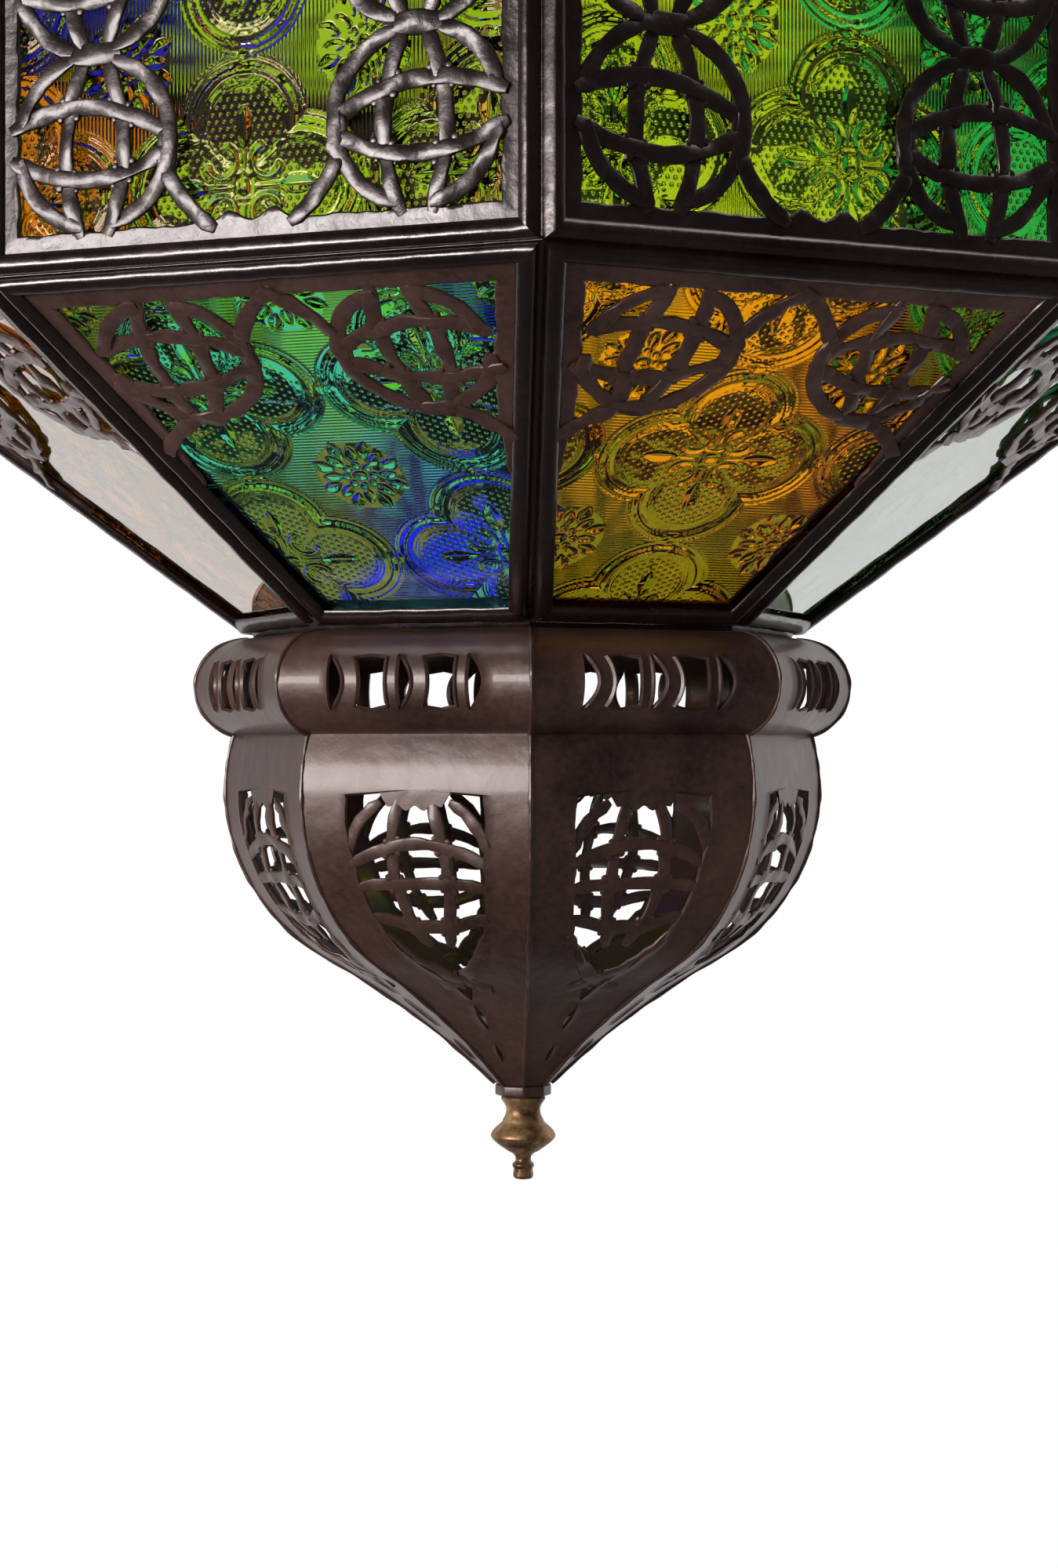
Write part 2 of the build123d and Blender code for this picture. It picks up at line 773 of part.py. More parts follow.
# Brass finial: waisted neck, sharp bead and tip, turned in narrow flats
finial_wedge = flat_sided(
    [
        (0, finial_top_z),
        (finial_top_radius, finial_top_z),
        (finial_neck_radius, finial_top_z - finial_neck_depth),
        (finial_bead_radius, finial_top_z - finial_bead_depth),
        (finial_tip_radius, finial_top_z - finial_bead_end),
        (finial_tip_radius, finial_top_z - finial_length),
        (0, finial_top_z - finial_length),
    ],
    finial_flat_count,
)
with BuildPart() as finial:
    with PolarLocations(0, finial_flat_count):
        add(finial_wedge)
    with BuildSketch(Plane.XY.offset(finial_top_z)):
        Circle(stud_hole)
    extrude(amount=-stud_engage - seam, mode=Mode.SUBTRACT)
save(finial, "finial")

# Door: a soldered frame in the bay between two posts, with its own pane and pierced sheet
door_turn = first_face + face_turn * (door_face - 1)
door_inset = lip_end + door_gap
door_pane_inset = door_inset + door_web + edge_play
door_slot = inner_level - lip_thick


def door_rectangle(inset, level):
    with BuildSketch(upright_face(level)) as rectangle:
        with Locations((0, mid_height / 2)):
            Rectangle(2 * (belt_half - inset), mid_height - 2 * inset)
    return rectangle.sketch


with BuildPart() as door_frame_flat:
    extrude(door_rectangle(door_inset, came_depth), amount=came_depth)
    extrude(door_rectangle(door_inset + door_lip, lip_thick), amount=lip_thick, mode=Mode.SUBTRACT)
    extrude(door_rectangle(door_inset + door_web, inner_level), amount=door_slot, mode=Mode.SUBTRACT)
    extrude(
        door_rectangle(door_inset + door_inner_lip, came_depth),
        amount=inner_lip_thick,
        mode=Mode.SUBTRACT,
    )
with BuildPart() as door_frame:
    add(door_frame_flat.part, rotation=(0, 0, door_turn))
save(door_frame, "door_frame")

door_glass = upright_pane(door_pane_inset)
with BuildPart() as door_pane:
    add(door_glass, rotation=(0, 0, door_turn))
save(door_pane, "door_pane")

door_sheet = upright_filigree(door_pane_inset, door_flange)
with BuildPart() as door_filigree:
    add(door_sheet, rotation=(0, 0, door_turn))
save(door_filigree, "door_filigree")

# Hinge: one knuckle on the post's leaf between two on the door's leaves, all on one pin
pin_x = belt_apothem + pin_out
pin_y = belt_half - (lip_end + door_inset) / 2
hinge_z = lower_belt_z + mid_height / 2
knuckle_step = knuckle_length + hinge_play


# Flat leaf with its knuckle. toward is 1 for a leaf on the post and -1 for one on the door
def hinge_leaf(foot, toward):
    seat_x = belt_apothem + seam
    with BuildSketch(Plane.XY.offset(foot)) as leaf:
        Polygon(
            (pin_x - knuckle_half, pin_y - toward * knuckle_half),
            (pin_x + knuckle_half, pin_y - toward * knuckle_half),
            (pin_x + knuckle_half, pin_y + toward * knuckle_half),
            (seat_x + leaf_thick, pin_y + toward * knuckle_half),
            (seat_x + leaf_thick, pin_y + toward * leaf_width),
            (seat_x, pin_y + toward * leaf_width),
            (seat_x, pin_y),
            (pin_x - knuckle_half, pin_y),
        )
        with Locations((pin_x, pin_y)):
            Circle(pin_radius + pin_play, mode=Mode.SUBTRACT)
    return leaf.sketch


with BuildPart() as post_leaf_flat:
    extrude(hinge_leaf(hinge_z - knuckle_length / 2, 1), amount=knuckle_length)
with BuildPart() as hinge_post_leaf:
    add(post_leaf_flat.part, rotation=(0, 0, door_turn))
save(hinge_post_leaf, "hinge_post_leaf")

with BuildPart() as door_leaves_flat:
    for side in (-1, 1):
        foot = hinge_z + side * knuckle_step - knuckle_length / 2
        extrude(hinge_leaf(foot, -1), amount=knuckle_length)
with BuildPart() as hinge_door_leaves:
    add(door_leaves_flat.part, rotation=(0, 0, door_turn))
save(hinge_door_leaves, "hinge_door_leaves")

pin_length = 3 * knuckle_step
with BuildPart() as pin_flat:
    with BuildSketch(Plane.XY.offset(hinge_z - pin_length / 2)):
        with Locations((pin_x, pin_y)):
            Circle(pin_radius)
    extrude(amount=pin_length)
with BuildPart() as hinge_pin:
    add(pin_flat.part, rotation=(0, 0, door_turn))
save(hinge_pin, "hinge_pin")

# Turned pull on the door's free side
pull_y = -(belt_half - door_inset - door_lip / 2)
pull_z = lower_belt_z + mid_height / 2 + pull_rise
pull_face = Plane(origin=(belt_apothem + seam, pull_y, pull_z), x_dir=(0, 1, 0), z_dir=(1, 0, 0))
with BuildPart() as pull_flat:
    with BuildSketch(pull_face):
        Circle(pull_stem_radius)
    extrude(amount=pull_stem)
    with BuildSketch(pull_face.offset(pull_stem)):
        RegularPolygon(pull_size / 2, side_count)
    extrude(amount=pull_knob)
with BuildPart() as door_pull:
    add(pull_flat.part, rotation=(0, 0, door_turn))
save(door_pull, "door_pull")

# Turn button on the post beside the door, hanging open, and the rivet that it turns on
button_y = -(belt_half - (lip_start + lip_end) / 2)
button_z = lower_belt_z + mid_height / 2
button_face = Plane(
    origin=(belt_apothem + button_lift, button_y, button_z), x_dir=(0, 1, 0), z_dir=(1, 0, 0)
)
with BuildPart() as button_flat:
    with BuildSketch(button_face):
        with Locations((0, -(button_length - button_width) / 2)):
            Rectangle(button_width, button_length)
        Circle(rivet_radius + pin_play, mode=Mode.SUBTRACT)
    extrude(amount=button_thick)
with BuildPart() as turn_button:
    add(button_flat.part, rotation=(0, 0, door_turn))
save(turn_button, "turn_button")

with BuildPart() as rivet_flat:
    with BuildSketch(button_face.offset(-button_lift)):
        Circle(rivet_radius)
    extrude(amount=button_thick + 2 * button_lift)
    with BuildSketch(button_face.offset(button_thick + button_lift)):
        Rectangle(rivet_head, rivet_head)
    extrude(amount=rivet_head_thick)
with BuildPart() as button_rivet:
    add(rivet_flat.part, rotation=(0, 0, door_turn))
save(button_rivet, "button_rivet")
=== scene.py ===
import math

import bmesh
import bpy
import numpy as np
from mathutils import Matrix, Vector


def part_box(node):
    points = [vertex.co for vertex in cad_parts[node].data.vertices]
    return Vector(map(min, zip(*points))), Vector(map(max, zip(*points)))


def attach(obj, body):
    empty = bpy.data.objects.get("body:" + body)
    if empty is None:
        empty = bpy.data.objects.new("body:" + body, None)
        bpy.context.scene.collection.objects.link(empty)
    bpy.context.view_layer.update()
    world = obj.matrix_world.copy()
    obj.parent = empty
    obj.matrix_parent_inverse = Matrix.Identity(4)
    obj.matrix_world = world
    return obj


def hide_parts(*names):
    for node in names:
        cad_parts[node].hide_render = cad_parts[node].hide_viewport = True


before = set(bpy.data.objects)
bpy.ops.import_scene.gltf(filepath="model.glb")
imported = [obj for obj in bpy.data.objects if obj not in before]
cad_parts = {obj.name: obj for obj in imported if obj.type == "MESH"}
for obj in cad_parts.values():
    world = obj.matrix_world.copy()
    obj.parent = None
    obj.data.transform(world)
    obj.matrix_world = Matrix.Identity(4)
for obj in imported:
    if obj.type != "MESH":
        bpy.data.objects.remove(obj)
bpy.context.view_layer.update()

# Hanging ring
# A ring of square iron bar, bent round a former and welded, its corners worn by the hook.
# It hangs on the ceiling hook, and the lantern's loop hangs in it.


class Wire:
    """A socket in a tree of nodes. Arithmetic on wires adds Math nodes."""

    def __init__(self, tree, socket):
        self.tree = tree
        self.socket = socket

    def into(self, node, socket):
        self.tree.links.new(self.socket, node.inputs[socket])

    def node(self, kind, settings, inputs, output=0):
        made = self.tree.nodes.new(kind)
        for key, value in settings.items():
            setattr(made, key, value)
        for key, value in inputs.items():
            if isinstance(value, Wire):
                value.into(made, key)
            else:
                made.inputs[key].default_value = value
        return Wire(self.tree, made.outputs[output])

    def math(self, operation, *values):
        return self.node("ShaderNodeMath", {"operation": operation}, dict(enumerate(values)))

    def noise(self, scale, detail, roughness=0.5, output=0):
        inputs = {"Vector": self, "Scale": scale, "Detail": detail, "Roughness": roughness}
        return self.node("ShaderNodeTexNoise", {}, inputs, output)

    def bump(self, depth):
        return self.node("ShaderNodeBump", {}, {"Height": self, "Distance": depth, "Strength": 1})

    def eased(self, first, last, low=0.0, high=1.0):
        """Low before the first value and high after the last, with a smooth change between."""
        inputs = {"Value": self, "From Min": first, "From Max": last, "To Min": low, "To Max": high}
        return self.node("ShaderNodeMapRange", {"interpolation_type": "SMOOTHSTEP"}, inputs)

    def ramp(self, *stops):
        """A colour by value, from stops of (value, colour)."""
        made = self.tree.nodes.new("ShaderNodeValToRGB")
        elements = made.color_ramp.elements
        while len(elements) < len(stops):
            elements.new(0.5)
        for element, (position, colour) in zip(elements, stops):
            element.position = position
            element.color = (*colour, 1)
        self.into(made, "Fac")
        return Wire(self.tree, made.outputs[0])

    def __add__(self, other):
        return self.math("ADD", self, other)

    def __radd__(self, other):
        return self.math("ADD", other, self)

    def __sub__(self, other):
        return self.math("SUBTRACT", self, other)

    def __rsub__(self, other):
        return self.math("SUBTRACT", other, self)

    def __mul__(self, other):
        return self.math("MULTIPLY", self, other)

    def __rmul__(self, other):
        return self.math("MULTIPLY", other, self)


def new_finish(name):
    material = bpy.data.materials.new(name)
    material.use_nodes = True
    tree = material.node_tree
    place = Wire(tree, tree.nodes.new("ShaderNodeTexCoord").outputs["Object"])
    return material, tree.nodes["Principled BSDF"], place


def fixed(shader, values):
    """Sets the sockets of a shader that don't vary."""
    for key, value in values.items():
        shader.inputs[key].default_value = value


def patinated_sheet(name, dark, worn, gloss, dent_depth):
    material, shader, place = new_finish(name)
    cloud = place.noise(24, 6, 0.62)
    grain = place.noise(520, 3, 0.6)
    dents = place.noise(115, 1.5)
    (0.7 * cloud + 0.3 * grain).ramp((0.34, dark), (0.64, worn)).into(shader, "Base Color")
    (gloss + 0.3 * (cloud - 0.5) + 0.1 * (grain - 0.5)).into(shader, "Roughness")
    (0.85 * dents + 0.15 * grain).bump(dent_depth).into(shader, "Normal")
    fixed(shader, {"Metallic": 0.2, "Specular IOR Level": 0.8, "Specular Tint": (1, 0.88, 0.85, 1)})
    fixed(shader, {"Coat Weight": 0.15, "Coat Roughness": 0.12})
    return material


def new_piece(name, points, faces, material, sharp_angle=40):
    mesh = bpy.data.meshes.new(name)
    mesh.from_pydata([tuple(point) for point in points], [], faces)
    mesh.materials.append(material)
    mesh.shade_smooth()
    mesh.set_sharp_from_angle(angle=math.radians(sharp_angle))
    piece = bpy.data.objects.new(name, mesh)
    bpy.context.scene.collection.objects.link(piece)
    return piece


def grid_faces(rows, columns, rows_closed=False, columns_closed=False, first=0):
    """Quads between rows of points; a closed row or column runs on to its first point."""
    faces = []
    for row in range(rows if rows_closed else rows - 1):
        near, far = first + row * columns, first + (row + 1) % rows * columns
        for column in range(columns if columns_closed else columns - 1):
            after = (column + 1) % columns
            faces.append((near + column, near + after, far + after, far + column))
    return faces


def tidy_mesh(piece, gap=1e-6):
    shape = bmesh.new()
    shape.from_mesh(piece.data)
    bmesh.ops.remove_doubles(shape, verts=shape.verts, dist=gap)
    bmesh.ops.recalc_face_normals(shape, faces=shape.faces)
    shape.to_mesh(piece.data)
    shape.free()
    return piece


def built_in(piece, body, slot, *nodes):
    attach(piece, body)
    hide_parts(*nodes)
    return piece


dark_iron = patinated_sheet("dark_iron", (0.017, 0.0065, 0.0045), (0.07, 0.028, 0.019), 0.45, 0.0005)
ring_radius = 0.019
ring_bar = 0.0049
ring_height = -0.0165
ring_sides, ring_steps = 96, 24
corner_wear = 0.35


def worn_square(value):
    return ring_bar / 2 * math.copysign(abs(value) ** corner_wear, value)


ring_points = []
for step in np.linspace(0, 2 * math.pi, ring_steps, endpoint=False):
    width, radius = worn_square(math.sin(step)), ring_radius + worn_square(math.cos(step))
    for turn in np.linspace(0, 2 * math.pi, ring_sides, endpoint=False):
        ring_points.append((width, radius * math.cos(turn), ring_height + radius * math.sin(turn)))
ring = new_piece("ring", ring_points, grid_faces(ring_steps, ring_sides, True, True), dark_iron)
tidy_mesh(ring)
built_in(ring, "hanger", "dark_metal", "hanging_ring")

# Cast loop and crown cap
# The loop is a cast lug on a square boss, filed at its edges, with a cable hole through its back.
# It stands on a cap folded from sheet, which covers the tips of the dome's gores.


def applied(piece):
    """The piece with its modifiers worked into its mesh."""
    view = bpy.context.evaluated_depsgraph_get()
    mesh = bpy.data.meshes.new_from_object(piece.evaluated_get(view))
    piece.modifiers.clear()
    piece.data = mesh
    return piece


def softened(name, node, material, edge, body="lantern", slot="dark_metal"):
    """A CAD node with its edges rounded."""
    piece = bpy.data.objects.new(name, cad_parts[node].data.copy())
    bpy.context.scene.collection.objects.link(piece)
    shape = bmesh.new()
    shape.from_mesh(piece.data)
    bmesh.ops.remove_doubles(shape, verts=shape.verts, dist=1e-6)
    bmesh.ops.dissolve_limit(
        shape, angle_limit=math.radians(0.6), verts=shape.verts, edges=shape.edges
    )
    shape.to_mesh(piece.data)
    shape.free()
    bevel = piece.modifiers.new("edge", "BEVEL")
    bevel.width = edge
    bevel.segments = 3
    bevel.limit_method = "ANGLE"
    bevel.angle_limit = math.radians(28)
    mesh = applied(piece).data
    mesh.name = name
    mesh.materials.clear()
    mesh.materials.append(material)
    mesh.shade_smooth()
    mesh.set_sharp_from_angle(angle=math.radians(45))
    return built_in(piece, body, slot, node)


softened("loop", "top_loop", dark_iron, 0.0007)
softened("cap", "crown_cap", dark_iron, 0.0005)

# Dome
# Eight gores of thin sheet, each bent over a former to the onion's curve and soldered to the
# next along the seam. Their lower edges are tacked to the upper collar.


def circle_through(first, middle, last):
    ax, ay = first
    bx, by = middle
    cx, cy = last
    cross = 2 * (ax * (by - cy) + bx * (cy - ay) + cx * (ay - by))
    a2, b2, c2 = ax * ax + ay * ay, bx * bx + by * by, cx * cx + cy * cy
    centre = np.array(
        (
            (a2 * (by - cy) + b2 * (cy - ay) + c2 * (ay - by)) / cross,
            (a2 * (cx - bx) + b2 * (ax - cx) + c2 * (bx - ax)) / cross,
        )
    )
    return centre, math.dist(centre, first)


gore_edge = np.array((0.08143, 0.0))
gore_belly = np.array((0.07953, 0.0388))
gore_turn = np.array((0.05456, 0.0685))
gore_tip = np.array((0.0080, 0.1062))
gore_sheet = 0.001
octagon_share = math.tan(math.pi / 8)


def gore_curve(belly_steps, ogee_steps):
    """Apothems and depths down a gore, and the outward direction at each."""
    centre, radius = circle_through(gore_edge, gore_belly, gore_turn)
    outward = (gore_turn - centre) / radius
    chord = gore_turn - gore_tip
    ogee_radius = -chord.dot(chord) / (2 * outward.dot(chord))
    ogee_centre = gore_turn + outward * ogee_radius
    start = math.atan2(*(gore_edge - centre)[::-1])
    end = math.atan2(*(gore_turn - centre)[::-1])
    belly = np.linspace(start, end, belly_steps, endpoint=False)
    directions = [np.array((math.cos(a), math.sin(a))) for a in belly]
    places = [centre + radius * way for way in directions]
    start = math.atan2(*(gore_turn - ogee_centre)[::-1])
    end = math.atan2(*(gore_tip - ogee_centre)[::-1])
    if end - start > math.pi:
        end -= 2 * math.pi
    if start - end > math.pi:
        end += 2 * math.pi
    for a in np.linspace(start, end, ogee_steps):
        way = np.array((math.cos(a), math.sin(a)))
        places.append(ogee_centre + ogee_radius * way)
        directions.append(-way)
    return np.array(places), np.array(directions)


def slit_sheet(half_widths, openings, columns):
    """Rows of a sheet across its width, left out where its openings are.

    Gives each point's row, place across, and 1 at an opening's edge, and the faces."""
    rows = len(half_widths)
    limits = [-np.asarray(half_widths)]
    open_here = [np.zeros(rows, bool)]
    for middle, half in openings:
        limits += [middle - half, middle + half]
        open_here += [half > 0, half > 0]
    limits.append(np.asarray(half_widths))
    open_here.append(np.zeros(rows, bool))
    points, faces = [], []
    for band in range(0, len(limits), 2):
        base = len(points)
        for row in range(rows):
            left, right = limits[band][row], limits[band + 1][row]
            for column in range(columns + 1):
                share = column / columns
                edge = (column == 0 and open_here[band][row]) or (
                    column == columns and open_here[band + 1][row]
                )
                points.append((row, left + (right - left) * share, float(edge)))
        faces += grid_faces(rows, columns + 1, first=base)
    return np.array(points), faces


def bent_sheet(name, points, faces, thickness, material):
    piece = tidy_mesh(new_piece(name, points, faces, material), 2e-5)
    middle = piece.data.polygons[len(piece.data.polygons) // 2]
    if middle.normal.x < 0:
        piece.data.flip_normals()
    wall = piece.modifiers.new("wall", "SOLIDIFY")
    wall.thickness = thickness
    wall.offset = -1
    return applied(piece)


def joined(*meshes):
    points, faces = [], []
    for more_points, more_faces in meshes:
        base = sum(len(part) for part in points)
        points.append(np.asarray(more_points))
        faces += [tuple(base + place for place in face) for face in more_faces]
    return np.concatenate(points), faces


def ragged(along, seed):
    """The small unevenness of a hand-worked edge, at a distance along it."""
    waves = ((310, 0.00022), (730, 0.00016), (1240, 0.0001))
    return sum(size * np.sin(along * pace + seed * (3 + i)) for i, (pace, size) in enumerate(waves))


seam_radius = 0.0006
seam_sides = 8


def seam(places, ways):
    """A bead of solder up a corner, through (apothem, height) places, with the way out at each."""
    corner = np.array((1, -octagon_share, 0))
    outward = corner / np.linalg.norm(corner)
    across = np.array((-outward[1], outward[0], 0))
    points = []
    for (apothem, height), (out, rise) in zip(places, ways):
        middle = apothem * corner + (0, 0, height)
        away = out * outward + (0, 0, rise)
        radius = seam_radius + 0.6 * ragged(height, 6)
        for turn in np.linspace(0, 2 * math.pi, seam_sides, endpoint=False):
            points.append(middle + radius * (math.cos(turn) * away + math.sin(turn) * across))
    faces = grid_faces(len(places), seam_sides, False, True)
    faces.append(tuple(reversed(range(seam_sides))))
    faces.append(tuple(range(len(points) - seam_sides, len(points))))
    return np.array(points), faces


def with_more(piece, *meshes):
    """The piece with more points and faces joined to its own, which stay separate shells."""
    points = np.array([vertex.co for vertex in piece.data.vertices])
    faces = [tuple(polygon.vertices) for polygon in piece.data.polygons]
    name, material = piece.name, piece.data.materials[0]
    bpy.data.objects.remove(piece)
    return new_piece(name, *joined((points, faces), *meshes), material)


def open_tree(name, **kinds):
    """A new tree of geometry nodes, as a wire from each of its inputs, and one from its material."""
    tree = bpy.data.node_groups.new(name, "GeometryNodeTree")
    kinds["Material"] = "Material"
    for title, kind in kinds.items():
        tree.interface.new_socket(title, in_out="INPUT", socket_type="NodeSocket" + kind)
    tree.interface.new_socket("Geometry", in_out="OUTPUT", socket_type="NodeSocketGeometry")
    given = tree.nodes.new("NodeGroupInput")
    return [Wire(tree, given.outputs[title]) for title in kinds]


def close_tree(shape, material):
    """Ends a tree of geometry nodes with real copies in one material."""
    real = shape.node("GeometryNodeRealizeInstances", {}, {"Geometry": shape})
    finish = real.node("GeometryNodeSetMaterial", {}, {"Geometry": real, "Material": material})
    finish.into(shape.tree.nodes.new("NodeGroupOutput"), 0)
    return shape.tree


def around_tree():
    """Copies of one side's piece, turned round the lantern's axis."""
    side, count, first, turn, material = open_tree(
        "around the lantern", Side="Geometry", Count="Int", First="Float", Turn="Float"
    )
    places = side.node("GeometryNodeMeshLine", {}, {"Count": count, "Offset": (0, 0, 0)})
    number = side.node("GeometryNodeInputIndex", {}, {})
    angle = number.math("MULTIPLY_ADD", number, turn, first)
    turned = angle.node("ShaderNodeCombineXYZ", {}, {"Z": angle})
    inputs = {"Points": places, "Instance": side, "Rotation": turned}
    return close_tree(side.node("GeometryNodeInstanceOnPoints", {}, inputs), material)


def shaped_by(piece, tree, values):
    """The piece's mesh after a tree of nodes has worked on it."""
    work = piece.modifiers.new("work", "NODES")
    work.node_group = tree
    for item in tree.interface.items_tree:
        if item.in_out == "INPUT" and item.name in values:
            work[item.identifier] = values[item.name]
    return applied(piece)


around = around_tree()
first_side = math.radians(22.5)
side_turn = math.radians(45)


def all_round(side, material, count=8, first=first_side):
    shaped_by(side, around, {"Count": count, "First": first, "Turn": side_turn, "Material": material})
    side.data.name = side.name
    side.data.set_sharp_from_angle(angle=math.radians(40))
    return side


dome_edge_height = -0.1811
dome_places, dome_ways = gore_curve(26, 22)
dome_rows, dome_faces = slit_sheet(dome_places[:, 0] * octagon_share, [], 6)
dome_points = []
for row, across, edge in dome_rows:
    apothem, depth = dome_places[int(row)]
    dome_points.append((apothem, across, dome_edge_height + depth))
dome = bent_sheet("dome", dome_points, dome_faces, gore_sheet, dark_iron)
dome = with_more(dome, seam(dome_places + (0, dome_edge_height), dome_ways))
all_round(dome, dark_iron)
built_in(dome, "lantern", "dark_metal", "dome_gores")

# Clamp plate, threaded tube and lamp holder
# A tapped plate pulls the dome up against the cap by a plated tube, which carries the cable.
# The tube ends in a moulded holder with a capped tubular lamp.


def mottled(name, cloud, stops, smoothest, spread, metallic):
    """A cloudy finish, from a noise's scale, detail and roughness: paler where it is rougher."""
    material, shader, place = new_finish(name)
    tone = place.noise(*cloud)
    tone.ramp(*stops).into(shader, "Base Color")
    (smoothest + spread * tone).into(shader, "Roughness")
    fixed(shader, {"Metallic": metallic})
    return material


steel_stops = ((0.3, (0.42, 0.41, 0.4)), (0.7, (0.62, 0.61, 0.6)))
steel = mottled("plated_steel", (90, 4), steel_stops, 0.25, 0.2, 1)
softened("dome_plate", "dome_clamp", steel, 0.0004, slot="plain_steel")


def turned_piece(name, profile, sides, material):
    """A lathe-turned piece from (radius, height) pairs that start and end on the axis."""
    points = []
    for radius, height in profile:
        for turn in np.linspace(0, 2 * math.pi, sides, endpoint=False):
            points.append((radius * math.cos(turn), radius * math.sin(turn), height))
    return tidy_mesh(new_piece(name, points, grid_faces(len(profile), sides, False, True), material))


tube_low, tube_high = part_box("lamp_nipple")
tube_radius = 0.005
tube_bore = 0.0036
tube_thread = 0.001
thread_root = tube_radius - 0.0005
thread_profile = [(tube_bore, tube_low.z), (thread_root, tube_low.z)]
for height in np.arange(tube_low.z + tube_thread / 2, tube_high.z - tube_thread, tube_thread):
    thread_profile += [(tube_radius, height), (thread_root, height + tube_thread / 2)]
thread_profile += [(thread_root, tube_high.z), (tube_bore, tube_high.z), (tube_bore, tube_low.z)]
tube = turned_piece("threaded_tube", thread_profile, 32, steel)
built_in(tube, "lantern", "plain_steel", "lamp_nipple")

holder_stops = ((0.3, (0.012, 0.011, 0.011)), (0.7, (0.03, 0.028, 0.027)))
holder_black = mottled("moulded_black", (900, 2), holder_stops, 0.38, 0.15, 0)
softened("lamp_holder_body", "lamp_holder", holder_black, 0.001, slot="holder_black")

lamp_cap_low, lamp_cap_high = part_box("bulb_cap")
lamp_cap_radius = 0.0068
lamp_cap_profile = [(0, lamp_cap_low.z), (lamp_cap_radius, lamp_cap_low.z)]
for height in np.linspace(lamp_cap_low.z + 0.003, lamp_cap_high.z - 0.004, 25):
    swell = 0.00035 * math.sin((height - lamp_cap_low.z) / 0.0029 * 2 * math.pi)
    lamp_cap_profile.append((lamp_cap_radius - 0.0004 + swell, height))
lamp_cap_profile += [(0.004, lamp_cap_high.z), (0, lamp_cap_high.z)]
lamp_cap = turned_piece("lamp_cap", lamp_cap_profile, 40, steel)
built_in(lamp_cap, "lantern", "plain_steel", "bulb_cap")

lamp_glass, lamp_shader, lamp_place = new_finish("frosted_lamp_glass")
(0.3 + 0.2 * lamp_place.noise(600, 2)).into(lamp_shader, "Roughness")
fixed(lamp_shader, {"Base Color": (0.93, 0.92, 0.89, 1), "Transmission Weight": 0.6})
bulb_low, bulb_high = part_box("bulb_tube")
bulb_radius = 0.0086
bulb_profile = [(0, bulb_high.z), (bulb_radius * 0.7, bulb_high.z), (bulb_radius, bulb_high.z - 0.004)]
for step in np.linspace(0, math.pi / 2, 14):
    bulb_profile.append((bulb_radius * math.cos(step), bulb_low.z + bulb_radius * (1 - math.sin(step))))
bulb = turned_piece("lamp_bulb", bulb_profile, 40, lamp_glass)
built_in(bulb, "lantern", "bulb_glass", "bulb_tube")

# Collars
# Eight strips of sheet for each collar, beaten into a half-round bead over a swage and mitred
# at the corners. The lower one has slots chiselled through it, with their edges pressed out.

bead_apothem = 0.07733
bead_radius = 0.0152
bead_sheet = 0.001
bead_rows = 41
bead_angles = np.linspace(-math.pi / 2, math.pi / 2, bead_rows)
bead_halves = (bead_apothem + bead_radius * np.cos(bead_angles)) * octagon_share
bead_heights = bead_radius * np.sin(bead_angles)
slot_reach = 0.0078
slot_pitch = 0.0104
slot_bow = np.clip(1 - (bead_heights / slot_reach) ** 2, 0, None)
slot_end = np.clip(slot_bow * 6, 0, 1)
slot_lip = 0.0007
bead_face = bead_radius - 0.0002


def chiselled_slot(place, left, right):
    """A slot between a left and a right edge, each a value for every row of the bead."""
    half = (right - left) / 2 * slot_end
    return place + (left + right) / 2, half


slot_places = []
for place in (-2 * slot_pitch, 0, 2 * slot_pitch):
    slot_places.append(chiselled_slot(place, np.full(bead_rows, -0.0018), -0.0014 + 0.0044 * slot_bow))
    if place < slot_pitch:
        left = -0.0052 + 0.0024 * slot_bow
        slot_places.append(chiselled_slot(place + slot_pitch, left, np.full(bead_rows, 0.0056)))


def collar(name, height, openings, node):
    rows, faces = slit_sheet(bead_halves, openings, 8)
    points = []
    for row, across, edge in rows:
        angle = bead_angles[int(row)]
        radius = bead_face + slot_lip * edge
        points.append((bead_apothem + radius * math.cos(angle), across, height + radius * math.sin(angle)))
    piece = bent_sheet(name, points, faces, bead_sheet, dark_iron)
    ways = np.stack((np.cos(bead_angles), np.sin(bead_angles)), 1)
    piece = with_more(piece, seam((bead_apothem, height) + bead_face * ways, ways))
    all_round(piece, dark_iron)
    return built_in(piece, "lantern", "dark_metal", node)


collar("collar_top", -0.195493, [], "upper_collar")
collar("collar_bottom", -0.506293, slot_places, "lower_collar")

# Came frame
# Folded came strips hold the glass: necks, slanted bars, belts and posts, cut to length, mitred
# and soldered. Each is a channel with two rolled lips outside, and a groove between them.


def turned_by(points, angle):
    """Points turned round the lantern's axis."""
    x, y, z = points.T
    cos, sin = math.cos(angle), math.sin(angle)
    return np.stack((x * cos - y * sin, x * sin + y * cos, z), 1)


